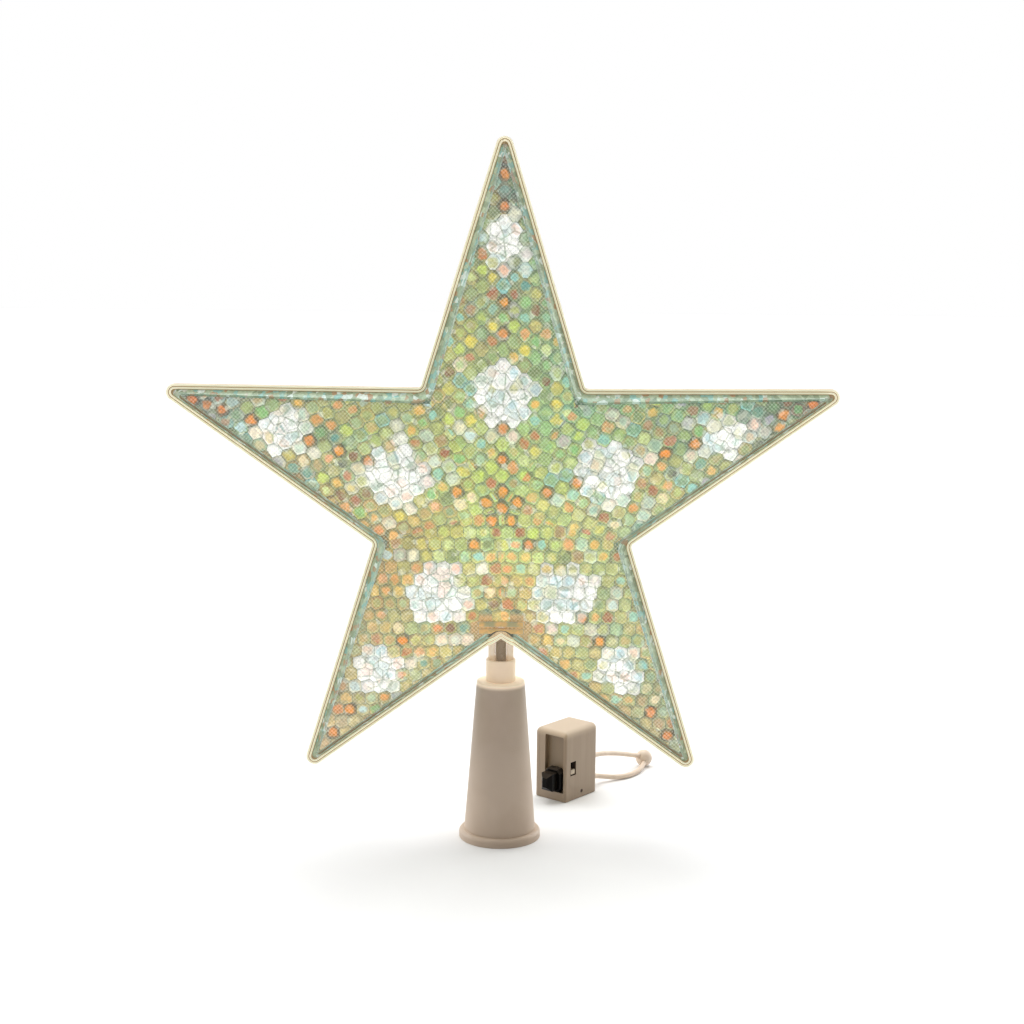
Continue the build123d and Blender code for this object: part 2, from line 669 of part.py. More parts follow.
def make_power_knob():
    half = RECESS_WIDTH / 2 - KNOB_SIDE_GAP
    floor_x = RECESS_DEPTH - SEAT_CLEARANCE
    plate = block(-KNOB_PROUD, floor_x, KNOB_Y - half, KNOB_Y + half, KNOB_Z, KNOB_Z + KNOB_HEIGHT)
    plate = chamfer(plate.edges().filter_by(Axis.X), KNOB_CORNER)
    plate = chamfer(plate.faces().sort_by(Axis.X)[0].edges(), KNOB_EDGE)
    half_grip = GRIP_WIDTH / 2
    grip_z = KNOB_Z + (KNOB_HEIGHT - GRIP_HEIGHT) / 2
    grip = block(-GRIP_PROUD, 0, KNOB_Y - half_grip, KNOB_Y + half_grip, grip_z, grip_z + GRIP_HEIGHT)
    grip = chamfer(grip.faces().sort_by(Axis.X)[0].edges(), GRIP_CUT)
    half_stem = STEM_WIDTH / 2
    return plate + grip + block(
        0, INNER_X + STEM_INSIDE, KNOB_Y - half_stem, KNOB_Y + half_stem, STEM_Z, STEM_Z + STEM_HEIGHT
    )


def make_power_bridge():
    start = INNER_X + STEM_INSIDE
    end = start + BRIDGE_THICKNESS
    half = STEM_WIDTH / 2
    return block(start, end, KNOB_Y - half, KNOB_Y + half, STEM_Z, STEM_Z + STEM_HEIGHT)


def make_power_switch_body():
    under = SLOT_Z - POWER_BODY_END
    top = SLOT_TOP + POWER_BODY_END
    far_x = INNER_X + POWER_BODY_DEPTH
    body = block(INNER_X, far_x, POWER_BODY_Y, POWER_BODY_Y + POWER_BODY_WIDTH, under, top)
    half = STEM_WIDTH / 2 + SEAT_CLEARANCE
    channel_x = INNER_X + STEM_INSIDE + BRIDGE_THICKNESS + LOOSE_CLEARANCE
    return body - block(INNER_X, channel_x, KNOB_Y - half, KNOB_Y + half, SLOT_Z, SLOT_TOP)


def make_mode_switch_body():
    half = MODE_BODY_WIDTH / 2
    under = MODE_UP - MODE_BODY_END
    top = MODE_UP + MODE_WINDOW_HEIGHT + MODE_BODY_END
    body = block(MODE_X - half, MODE_X + half, CASE_WALL, BOARD_Y, under, top)
    channel = MODE_STEM_WIDTH / 2 + SEAT_CLEARANCE
    channel_y = CASE_WALL + MODE_STEM_DEPTH + LOOSE_CLEARANCE
    window_top = MODE_UP + MODE_WINDOW_HEIGHT
    return body - block(MODE_X - channel, MODE_X + channel, CASE_WALL, channel_y, MODE_UP, window_top)


def make_mode_knob():
    half = MODE_WINDOW_WIDTH / 2 - MODE_KNOB_GAP
    under = MODE_UP + MODE_KNOB_GAP
    top = under + MODE_KNOB_HEIGHT
    cap = block(MODE_X - half, MODE_X + half, MODE_KNOB_SUNK, CASE_WALL - SEAT_CLEARANCE, under, top)
    half_stem = MODE_STEM_WIDTH / 2
    stem_y = CASE_WALL + MODE_STEM_DEPTH
    return cap + block(MODE_X - half_stem, MODE_X + half_stem, MODE_KNOB_SUNK, stem_y, under, top)


def make_indicator_lamp():
    return rod(INDICATOR_X, INDICATOR_UP, INDICATOR_SUNK, BOARD_Y, INDICATOR_RADIUS)


def make_control_board():
    board = block(
        INNER_X + SEAT_CLEARANCE,
        BACK_X - SCREW_COLUMN - SEAT_CLEARANCE,
        BOARD_Y,
        BOARD_Y + BOARD_THICKNESS,
        CASE_WALL + SEAT_CLEARANCE,
        ROOM_TOP - SEAT_CLEARANCE,
    )
    for x, z in POSTS:
        board = board - rod(x, z, BOARD_Y, BOARD_Y + BOARD_THICKNESS, POST_RADIUS + SEAT_CLEARANCE)
    return board


def make_cell_tray():
    tray = rod(CELL_X, CELL_Z, TRAY_Y, PLATE_Y - CELL_THICKNESS, TRAY_RADIUS)
    tray = tray - rod(CELL_X, CELL_Z, LEAF_Y, PLATE_Y, CELL_RADIUS + SEAT_CLEARANCE)
    half = TAB_WIDTH / 2 + SEAT_CLEARANCE
    slot_top = CELL_Z + LEAF_THICKNESS + SEAT_CLEARANCE
    return tray - block(CELL_X - half, CELL_X + half, TRAY_Y, LEAF_Y, CELL_Z - SEAT_CLEARANCE, slot_top)


def make_cell_leaf():
    half = LEAF_WIDTH / 2
    reach = CELL_RADIUS / 2
    leaf_top = LEAF_Y + LEAF_THICKNESS
    strip = block(CELL_X - reach, CELL_X + reach, LEAF_Y, leaf_top, CELL_Z - half, CELL_Z + half)
    pad = rod(CELL_X, CELL_Z, LEAF_Y, CELL_Y, LEAF_PAD)
    half_tab = TAB_WIDTH / 2
    foot = BOARD_Y + BOARD_THICKNESS
    tab = block(CELL_X - half_tab, CELL_X + half_tab, foot, LEAF_Y, CELL_Z, CELL_Z + LEAF_THICKNESS)
    return strip + pad + tab


def make_cell_plate():
    half = PLATE_WIDTH / 2
    tab_z = CELL_Z + TRAY_RADIUS + SEAT_CLEARANCE
    tab_top = tab_z + PLATE_THICKNESS
    plate_back = PLATE_Y + PLATE_THICKNESS
    strip = block(CELL_X - half, CELL_X + half, PLATE_Y, plate_back, CELL_Z - half, tab_top)
    half_tab = TAB_WIDTH / 2
    foot = BOARD_Y + BOARD_THICKNESS
    return strip + block(CELL_X - half_tab, CELL_X + half_tab, foot, PLATE_Y, tab_z, tab_top)


def make_coin_cell(index):
    start = CELL_Y + index * CELL_THICKNESS
    return rod(CELL_X, CELL_Z, start, start + CELL_THICKNESS, CELL_RADIUS)


def make_battery_door(outside):
    door = outside & block(0, BOX_LENGTH, DOOR_Y, BOX_WIDTH, 0, BOX_HEIGHT)
    door = door - rod(SCREW_X, SCREW_Z, DOOR_Y, BOX_WIDTH, SCREW_RADIUS + SEAT_CLEARANCE)
    head_y = BOX_WIDTH - SCREW_HEAD_HEIGHT
    return door - rod(SCREW_X, SCREW_Z, head_y, BOX_WIDTH, SCREW_HEAD_RADIUS + SEAT_CLEARANCE)


def make_door_screw():
    head_y = BOX_WIDTH - SCREW_HEAD_HEIGHT
    shank = rod(SCREW_X, SCREW_Z, head_y - SCREW_LENGTH + SEAT_CLEARANCE, head_y, SCREW_RADIUS)
    head = rod(SCREW_X, SCREW_Z, head_y, BOX_WIDTH, SCREW_HEAD_RADIUS)
    half = SCREW_SLOT_WIDTH / 2
    reach = SCREW_HEAD_RADIUS
    slot_y = BOX_WIDTH - SCREW_SLOT_DEPTH
    slot = block(SCREW_X - half, SCREW_X + half, slot_y, BOX_WIDTH, SCREW_Z - reach, SCREW_Z + reach)
    return shank + head - slot


def make_box_lead_gland():
    inner = Plane(origin=(BACK_X, LOOP_Y, BOX_GLAND_UP), z_dir=(1, 0, 0))
    outer = Plane(origin=(BOX_LENGTH, LOOP_Y, BOX_GLAND_UP), z_dir=(1, 0, 0))
    sleeve = inner * Cylinder(BOX_GLAND_RADIUS, CASE_WALL, align=LOW)
    flange = outer * Cylinder(BOX_GLAND_RADIUS + BOX_GLAND_FLANGE, BOX_GLAND_PROUD, align=LOW)
    lead = inner * Cylinder(LEAD_RADIUS, CASE_WALL + BOX_GLAND_PROUD, align=LOW)
    return sleeve + flange - lead


# Hanging loop, in the frame of the whole part

BOX_HEADING = math.radians(BOX_HEADING_DEGREES)
BOX_PLACE = Plane(
    origin=(BOX_CORNER_X, BOX_CORNER_Y, 0),
    x_dir=(math.cos(BOX_HEADING), math.sin(BOX_HEADING), 0),
    z_dir=(0, 0, 1),
)


def loop_points(up, route):
    start = BOX_PLACE.from_local_coords(Vector(BOX_LENGTH - LOOP_SOCKET, LOOP_Y, up))
    straight = BOX_PLACE.from_local_coords(Vector(BOX_LENGTH + LOOP_STRAIGHT, LOOP_Y, up))
    return [start, straight, *[Vector(*point) for point in route]]


def make_loop_bead(routes):
    bead = Pos(*BEAD_CENTRE) * Sphere(BEAD_RADIUS)
    for points in routes:
        outward = points[-2] - points[-1]
        socket = Plane(origin=points[-1], z_dir=outward)
        bead = bead - socket * Cylinder(LOOP_RADIUS + SEAT_CLEARANCE, BEAD_RADIUS, align=LOW)
    return bead


# Write every piece at its place

os.makedirs("parts", exist_ok=True)
save("cone_base", make_cone_base())
save("centre_pin", make_centre_pin())
save("neck_collar", make_neck_collar())
save("neck_tube", make_neck_tube())

STAR_PLACE = Pos(0, 0, CENTRE_Z)
half_shell = make_half_shell()
half_film = make_half_film()
save("front_shell", STAR_PLACE * half_shell)
save("back_shell", STAR_PLACE * make_back_shell(half_shell))
save("front_film", STAR_PLACE * half_film)
save("back_film", STAR_PLACE * make_back_film(half_film))
for number, place in enumerate(LAMP_PLACES, 1):
    save(f"lamp_holder_{number}", STAR_PLACE * make_lamp_holder(place))
    save(f"led_lamp_{number}", STAR_PLACE * make_led_lamp(place))
save("light_wires", STAR_PLACE * make_light_wires())
save("star_lead_gland", STAR_PLACE * make_star_lead_gland())

box_outside = make_box_outside()
save("case_body", BOX_PLACE * make_case_body(box_outside))
save("battery_door", BOX_PLACE * make_battery_door(box_outside))
save("door_screw", BOX_PLACE * make_door_screw())
save("power_knob", BOX_PLACE * make_power_knob())
save("power_bridge", BOX_PLACE * make_power_bridge())
save("power_switch_body", BOX_PLACE * make_power_switch_body())
save("mode_switch_body", BOX_PLACE * make_mode_switch_body())
save("mode_knob", BOX_PLACE * make_mode_knob())
save("indicator_lamp", BOX_PLACE * make_indicator_lamp())
save("control_board", BOX_PLACE * make_control_board())
save("cell_tray", BOX_PLACE * make_cell_tray())
save("cell_leaf", BOX_PLACE * make_cell_leaf())
save("cell_plate", BOX_PLACE * make_cell_plate())
save("coin_cell_1", BOX_PLACE * make_coin_cell(0))
save("coin_cell_2", BOX_PLACE * make_coin_cell(1))
save("box_lead_gland", BOX_PLACE * make_box_lead_gland())

upper_points = loop_points(LOOP_UPPER_UP, UPPER_ROUTE)
lower_points = loop_points(LOOP_LOWER_UP, LOWER_ROUTE)
save("loop_upper", cord_tube("upper strand", upper_points, LOOP_RADIUS))
save("loop_lower", cord_tube("lower strand", lower_points, LOOP_RADIUS))
save("loop_bead", make_loop_bead([upper_points, lower_points]))

print(f"centre {CENTRE_Z:.2f}, notch {NOTCH_Z:.2f}, apex depth {APEX_DEPTH:.2f}")
print(f"box {BOX_LENGTH:.2f} x {BOX_WIDTH:.2f} x {BOX_HEIGHT:.2f}")
print(f"travel: power {KNOB_TRAVEL:.2f}, mode {MODE_TRAVEL:.2f}")
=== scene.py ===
# %% [markdown]
# # A lit tree-topper star
# The imported model is the fixed frame: every piece below is dressed or built around it, in metres, with
# the star facing -Y and +Z up. Nothing in the frame is moved. It is loaded first.

import math
import random

import bmesh
import bpy
from mathutils import Matrix, Vector


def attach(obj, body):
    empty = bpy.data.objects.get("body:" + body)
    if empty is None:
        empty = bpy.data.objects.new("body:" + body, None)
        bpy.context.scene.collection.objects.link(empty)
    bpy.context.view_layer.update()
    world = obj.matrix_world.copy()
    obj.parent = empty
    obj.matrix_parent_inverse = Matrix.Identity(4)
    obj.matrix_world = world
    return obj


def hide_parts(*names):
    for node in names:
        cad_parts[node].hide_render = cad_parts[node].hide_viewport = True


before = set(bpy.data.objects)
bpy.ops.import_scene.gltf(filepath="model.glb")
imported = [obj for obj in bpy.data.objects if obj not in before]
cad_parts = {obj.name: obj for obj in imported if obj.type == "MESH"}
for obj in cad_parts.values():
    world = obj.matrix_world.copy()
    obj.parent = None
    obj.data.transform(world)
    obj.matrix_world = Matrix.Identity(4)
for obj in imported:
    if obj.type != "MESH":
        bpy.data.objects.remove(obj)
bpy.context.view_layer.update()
MM = 0.001


# %% [markdown]
# ## Into the scene
# A new piece is drawn as a bmesh, which is easy to cut, inset and bevel. It becomes a plain mesh, which an
# object carries into the scene.


# %% Scene helpers
def finished_mesh(shape, name):
    """Turns a bmesh into a plain mesh."""
    mesh = bpy.data.meshes.new(name)
    shape.to_mesh(mesh)
    shape.free()
    return mesh


def inset(shape, face, width):
    """Leaves a rim round a face, which shrinks."""
    bmesh.ops.inset_region(shape, faces=[face], thickness=width, use_even_offset=True, use_boundary=True)


def add_object(name, data):
    """Puts a mesh, curve, lamp or camera into the scene."""
    made = bpy.data.objects.new(name, data)
    bpy.context.scene.collection.objects.link(made)
    return made


# %% [markdown]
# ## A small language for finishes
# A finish is a graph of nodes. Wiring dozens of them by hand hides the idea, so one class wraps a socket
# and lets sums be written as sums, and another adds any other node from its type, its settings and its
# sockets. Every finish then reads like a recipe.


# %% Shader helpers
class Value:
    """One output of a node. Arithmetic on it adds Math nodes."""

    def __init__(self, finish, socket):
        self.finish = finish
        self.socket = socket

    def maths(self, operation, one, two):
        return self.finish.node("ShaderNodeMath", {"operation": operation}, {0: one, 1: two})

    def __add__(self, other):
        return self.maths("ADD", self, other)

    def __sub__(self, other):
        return self.maths("SUBTRACT", self, other)

    def __rsub__(self, other):
        return self.maths("SUBTRACT", other, self)

    def __mul__(self, other):
        return self.maths("MULTIPLY", self, other)

    def __truediv__(self, other):
        return self.maths("DIVIDE", self, other)

    def __pow__(self, other):
        return self.maths("POWER", self, other)

    def __abs__(self):
        return self.maths("ABSOLUTE", self, 0.0)

    __radd__ = __add__
    __rmul__ = __mul__

    def most(self, other):
        return self.maths("MAXIMUM", self, other)

    def between(self, low, high):
        """0 at low, 1 at high, with a smooth start and end. It falls where high is the smaller one."""
        sockets = {"Value": self, "From Min": low, "From Max": high}
        return self.finish.node("ShaderNodeMapRange", {"interpolation_type": "SMOOTHSTEP"}, sockets)

    def within(self, middle, half, soft):
        """1 around a middle, falling over a soft edge to 0 at half a width from it."""
        return abs(self - middle).between(half, half - soft)


class Finish:
    """A material or a world, made by adding nodes."""

    def __init__(self, owner):
        self.owner = owner
        owner.use_nodes = True
        self.tree = owner.node_tree
        self.tree.nodes.clear()

    def node(self, kind, settings=None, sockets=None, out=0):
        node = self.tree.nodes.new(kind)
        for name, value in (settings or {}).items():
            setattr(node, name, value)
        for name, value in (sockets or {}).items():
            if isinstance(value, Value):
                self.tree.links.new(value.socket, node.inputs[name])
            else:
                node.inputs[name].default_value = value
        return Value(self, node.outputs[out]) if node.outputs else None

    def spot(self):
        return self.node("ShaderNodeTexCoord", out="Object")

    def stretched(self, *scale):
        """The place, with a scale along each axis."""
        return self.node("ShaderNodeMapping", None, {"Vector": self.spot(), "Scale": scale})

    def along(self, axis):
        """The place along an axis, in millimetres."""
        return self.node("ShaderNodeSeparateXYZ", None, {"Vector": self.spot()}, axis) / MM

    def facing(self, axis):
        """The piece's own normal along an axis, from -1 to 1."""
        normal = self.node("ShaderNodeTexCoord", out="Normal")
        return self.node("ShaderNodeSeparateXYZ", None, {"Vector": normal}, axis)

    def grain(self, size, detail=2.0):
        """Soft noise with lumps of a size in millimetres."""
        sockets = {"Vector": self.spot(), "Scale": 1 / (size * MM), "Detail": detail}
        return self.node("ShaderNodeTexNoise", None, sockets, "Fac")

    def mix(self, share, one, two):
        """A colour between one and two."""
        return self.node("ShaderNodeMix", {"data_type": "RGBA"}, {0: share, 6: one, 7: two}, 2)

    def times(self, colour, share):
        """A colour made darker or lighter by a value."""
        grey = self.node("ShaderNodeCombineColor", None, {0: share, 1: share, 2: share})
        settings = {"data_type": "RGBA", "blend_type": "MULTIPLY"}
        return self.node("ShaderNodeMix", settings, {0: 1.0, 6: colour, 7: grey}, 2)

    def bump(self, height, distance):
        """A normal from a height, with its depth in millimetres."""
        sockets = {"Strength": 1.0, "Distance": distance * MM, "Height": height}
        return self.node("ShaderNodeBump", None, sockets)

    def surface(self, sockets):
        shader = self.node("ShaderNodeBsdfPrincipled", None, sockets)
        self.node("ShaderNodeOutputMaterial", None, {"Surface": shader})
        self.owner.cycles.emission_sampling = "NONE"
        return self.owner


def new_finish(name):
    return Finish(bpy.data.materials.new(name))


def srgb(red, green, blue):
    """A colour as a picture program shows it, from 0 to 255, as the linear colour a shader takes."""
    linear = []
    for level in (red, green, blue):
        share = level / 255
        linear.append(share / 12.92 if share <= 0.04045 else ((share + 0.055) / 1.055) ** 2.4)
    return (*linear, 1.0)


def tones(*levels):
    return [srgb(*level) for level in levels]


def dress(material, *nodes):
    """Give CAD nodes a finish."""
    for name in nodes:
        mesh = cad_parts[name].data
        mesh.materials.clear()
        mesh.materials.append(material)
    print(material.name, "on", len(nodes), "node(s)")


# %% [markdown]
# ## The studio
# The photograph is a catalogue picture on plain white: light falls from above and from both sides, and
# the side towards the camera is the dim one. Sun lamps light a floor evenly however large it is, which a
# near lamp cannot, so the floor stays white to its edge and still keeps the contact shadow.

# %% World and lamps
SKY_LIGHT = 0.14
world = bpy.data.worlds.new("studio_sky")
bpy.context.scene.world = world
sky = Finish(world)
seen = sky.node("ShaderNodeLightPath", out="Is Camera Ray")
for ray in ("Is Glossy Ray", "Is Transmission Ray"):
    seen = seen.most(sky.node("ShaderNodeLightPath", out=ray))
strength = SKY_LIGHT + (1 - SKY_LIGHT) * seen
white = sky.node("ShaderNodeBackground", None, {"Color": srgb(255, 255, 255), "Strength": strength})
sky.node("ShaderNodeOutputWorld", None, {"Surface": white})

SUNS = {
    "top_light": {"from": (0.0, 0.3, 1.0), "strength": 3.2, "softness": 70},
    "left_light": {"from": (-1.0, 0.3, 0.4), "strength": 1.3, "softness": 40},
    "right_light": {"from": (1.0, 0.8, 0.4), "strength": 1.2, "softness": 40},
}
for name, facts in SUNS.items():
    lamp = bpy.data.lights.new(name, "SUN")
    lamp.energy = facts["strength"]
    lamp.angle = math.radians(facts["softness"])
    sun = add_object(name, lamp)
    sun.rotation_euler = Vector(facts["from"]).to_track_quat("Z", "Y").to_euler()
bpy.context.scene.view_settings.view_transform = "Standard"
print("lamps:", ", ".join(SUNS))

# %% [markdown]
# ## The floor
# A pale matt sheet is enough. It lies a hair under the cone's foot so the two faces do not fight.

# %% Floor
FLOOR_HALF = 6.0
FLOOR_DROP = 0.00005

sheet = bmesh.new()
bmesh.ops.create_grid(sheet, x_segments=1, y_segments=1, size=FLOOR_HALF)
bmesh.ops.translate(sheet, vec=(0, 0, -FLOOR_DROP), verts=sheet.verts)
floor_mesh = finished_mesh(sheet, "floor")
paper = new_finish("floor_paper")
paper_tone = paper.mix(paper.grain(40), srgb(240, 240, 240), srgb(243, 243, 243))
floor_mesh.materials.append(paper.surface({"Base Color": paper_tone, "Roughness": 0.9}))
add_object("floor", floor_mesh)
print("floor:", 2 * FLOOR_HALF, "m square")

# %% [markdown]
# ## The camera
# The view looks slightly down on the star from straight in front. The picture is square, so the lens
# follows from one length, in pixels, that the star's corners gave.

# %% Camera
PICTURE = 1024
FOCAL_PIXELS = 1700
SENSOR = 36.0
CAMERA_PLACE = (0.005, -0.8407, 0.3051)
CAMERA_PITCH = 9.2
CAMERA_ROLL = 0.5
CLIP_START = 0.01

camera = add_object("camera", bpy.data.cameras.new("camera"))
camera.data.sensor_width = SENSOR
camera.data.lens = SENSOR * FOCAL_PIXELS / PICTURE
camera.data.clip_start = CLIP_START
camera.location = CAMERA_PLACE
tilt = Matrix.Rotation(math.radians(90 - CAMERA_PITCH), 4, "X")
roll = Matrix.Rotation(math.radians(CAMERA_ROLL), 4, "Z")
camera.rotation_euler = (tilt @ roll).to_euler()
bpy.context.scene.camera = camera
print("lens", round(camera.data.lens, 2), "mm")

# %% [markdown]
# ## The hanging loop
# A limp beige cord leaves the battery box twice and both strands end in one bead. A smooth spline through
# given points follows how it lies: the upper strand slopes down to the bead, and the lower one
# touches the floor. The points are those of the model, in millimetres.

# %% Loop strands
LOOP_DIAMETER = 2.8
LOOP_STRANDS = {
    "loop_strand_upper": {
        "node": "loop_upper",
        "length": 55.6,
        "route": [
            (46.948, 76.109, 17.5), (50.484, 80.322, 17.5), (56.0, 87.2, 16.8), (63.2, 96.2, 14.3),
            (71.4, 105.8, 10.9), (77.8, 113.0, 7.9), (81.9, 117.4, 6.1),
        ],
    },
    "loop_strand_lower": {
        "node": "loop_lower",
        "length": 57.0,
        "route": [
            (46.948, 76.109, 6.0), (50.484, 80.322, 6.0), (57.2, 87.3, 3.5), (65.6, 91.0, 1.6),
            (73.2, 95.3, 1.5), (78.9, 102.8, 1.6), (82.4, 110.7, 2.5), (83.9, 116.0, 3.8),
        ],
    },
}


def make_strand(name, facts):
    curve = bpy.data.curves.new(name, "CURVE")
    curve.dimensions = "3D"
    curve.bevel_depth = 1.0
    curve.bevel_resolution = 5
    curve.use_fill_caps = True
    spline = curve.splines.new("NURBS")
    spline.points.add(len(facts["route"]) - 1)
    for point, place in zip(spline.points, facts["route"]):
        point.co = (*(value * MM for value in place), 1)
        point.radius = LOOP_DIAMETER / 2 * MM
    spline.order_u = 3
    spline.use_endpoint_u = True
    spline.resolution_u = 10
    strand = add_object(name, curve)
    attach(strand, "box")
    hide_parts(facts["node"])
    exit_point = tuple(value * MM for value in facts["route"][0])
    return strand


strands = [make_strand(name, facts) for name, facts in LOOP_STRANDS.items()]
print("loop strands:", len(strands))

# %% [markdown]
# ## Satin moulded plastic
# Cone, box, bead and loop are one family of warm beige plastic: a fine moulded texture that breaks the
# gloss, and slow, faint changes of tone across each piece. One recipe takes the tone and the texture.

# %% Moulded plastics
FINE_LUMP = 0.7
ROUGH_SPREAD = 0.14


def dress_plastic(nodes, name, tone, shade, rough, texture, lump, gloss=0.5):
    """Give CAD nodes a moulded plastic, with two tones in lumps of a size in millimetres."""
    finish = new_finish(name)
    slow = finish.grain(lump, 3.0)
    fine = finish.grain(FINE_LUMP, 4.0)
    plastic = finish.surface({
        "Base Color": finish.mix(slow.between(0.35, 0.65), srgb(*tone), srgb(*shade)),
        "Roughness": rough + ROUGH_SPREAD * (fine - 0.5),
        "Normal": finish.bump(fine, texture),
        "Specular IOR Level": gloss,
    })
    dress(plastic, *nodes)
    return plastic


loop_plastic = dress_plastic(
    ["loop_bead"], "loop_plastic", (224, 205, 184), (215, 195, 174), rough=0.5, texture=0.03, lump=6.0,
)
for strand in strands:
    strand.data.materials.append(loop_plastic)

# %% [markdown]
# ## The battery box
# The box is the same plastic. The face that the power slider is in is painted a shade darker, as painted
# shade, and the next face carries faint upright streaks of painted reflection. The tall recess round that
# slider and the walls of the mode window are painted darker, as the shade that lies in them, and the top of
# the box, with a band below its edges, is painted paler, as painted light. Each of these tones is set from
# the place in the box.

# %% Battery box
BOX_CORNER = (35.4, 49.9)
BOX_HEADING = math.radians(50)
REFLECTION_STREAK_WIDTH = 2.2
REFLECTION_STREAK_SQUEEZE = 0.06
# The top of the box and a band below its edges are painted paler, as painted light.
LIT_TOP_BAND = (34.5, 39.0)
RECESS_ACROSS, RECESS_UP = (8.0, 6.9, 0.4), (20.7, 16.3, 0.5)
WINDOW_INWARD, WINDOW_UP = (6.8, 2.8, 0.25), (18.05, 4.3, 0.3)


def case_finish():
    """The recess and the window each have a middle, half a width and a soft edge in two directions."""
    finish = new_finish("case_plastic")
    x = finish.along("X") - BOX_CORNER[0]
    y = finish.along("Y") - BOX_CORNER[1]
    z = finish.along("Z")
    inward = x * math.cos(BOX_HEADING) + y * math.sin(BOX_HEADING)
    across = y * math.cos(BOX_HEADING) - x * math.sin(BOX_HEADING)
    # Painted reflection: faint upright streaks on the face beside the power slider.
    upright = finish.stretched(1, 1, REFLECTION_STREAK_SQUEEZE)
    sockets = {"Vector": upright, "Scale": 1 / (REFLECTION_STREAK_WIDTH * MM), "Detail": 2.0}
    reflection_streak = finish.node("ShaderNodeTexNoise", None, sockets, "Fac")
    drawn = reflection_streak.between(0.3, 0.7) * across.between(1.0, 0.2)
    fine = finish.grain(FINE_LUMP, 4.0)
    body = finish.mix(0.7 * finish.grain(12.0, 3.0) + drawn, srgb(165, 145, 123), srgb(158, 138, 116))
    # Painted shade: the face that the power slider is in is made darker.
    body = finish.times(body, 1 - 0.16 * inward.between(1.2, 0.2))
    # Painted light: the top of the box and a band below its edges are made paler.
    lit_top = finish.mix(z.between(*LIT_TOP_BAND), body, srgb(187, 167, 143))
    # Painted shade: the tall recess round the power slider is made darker.
    recess = across.within(*RECESS_ACROSS) * z.within(*RECESS_UP)
    recess = recess * inward.between(0.3, 0.9) * inward.between(3.0, 2.8)
    # Painted shade: the walls inside the mode window are made dark.
    window = inward.within(*WINDOW_INWARD) * z.within(*WINDOW_UP)
    window = window * across.between(0.1, 0.3) * across.between(3.0, 2.6)
    shaded = finish.mix(recess, lit_top, srgb(128, 110, 87))
    return finish.surface({
        "Base Color": finish.mix(window, shaded, srgb(60, 46, 36)),
        "Roughness": 0.44 + ROUGH_SPREAD * (fine - 0.5),
        "Normal": finish.bump(fine, 0.04),
    })


dress(case_finish(), "case_body", "battery_door")

# %% [markdown]
# ## The cone
# The cone's top plate is painted paler over its last millimetres and given a faint glow: a painted pool of
# the light from the star that comes down through the clear neck. Lower down the cone is painted paler towards
# its foot, as painted light. The rest is the same satin plastic.

# %% Cone
BEIGES = tones((188, 169, 150), (180, 160, 140))
CONE_PAINTED_GLOW = (79.2, 81.8)
CONE_PAINTED_LIGHT_BELOW = (60, 10)


def cone_finish():
    finish = new_finish("cone_plastic")
    z = finish.along("Z")
    slow = finish.grain(30, 3.0)
    fine = finish.grain(0.8, 4.0)
    # Painted light: a paler, faintly glowing band over the top plate.
    lit = z.between(*CONE_PAINTED_GLOW)
    body = finish.mix(slow.between(0.35, 0.65), *BEIGES)
    # Painted light: the lower cone is made paler towards its foot.
    body = finish.times(body, 1 + 0.2 * z.between(*CONE_PAINTED_LIGHT_BELOW))
    return finish.surface({
        "Base Color": finish.mix(lit, body, srgb(232, 213, 184)),
        "Emission Color": finish.times(body, 0.6 * lit),
        "Emission Strength": 1.0,
        "Roughness": 0.46 + ROUGH_SPREAD * (fine - 0.5),
        "Normal": finish.bump(fine, 0.05),
    })


dress(cone_finish(), "cone_base")

# %% [markdown]
# ## Star geometry
# The star is a roof of ten facets over five arms. These are the same corners as in the model, measured
# from the star's centre, so the cells and beads below land exactly on its facets.

# %% Star corners
CENTRE_Z = 174.0
APEX_DEPTH = 20.0
TIP_DEPTH = 5.0
NOTCH_DEPTH = 10.5
FILM_INSET = 3.65
SIDE_LEAN = math.tan(math.radians(18))
RIGHT_CORNERS = [(40.9, 57.0), (175.7, 58.0), (64.8, -21.5), (102.8, -143.2)]
CORNERS = [Vector((0, 189.1)), *map(Vector, RIGHT_CORNERS), Vector((0, -68.7))]
CORNERS += [Vector((-x, z)) for x, z in reversed(RIGHT_CORNERS)]
TIPS = CORNERS[0::2]
NOTCHES = CORNERS[1::2]


def square_to(line, away_from):
    """The direction square to a line, on the side that points away from a vector."""
    square = Vector((-line.y, line.x))
    return -square if square.dot(away_from) > 0 else square


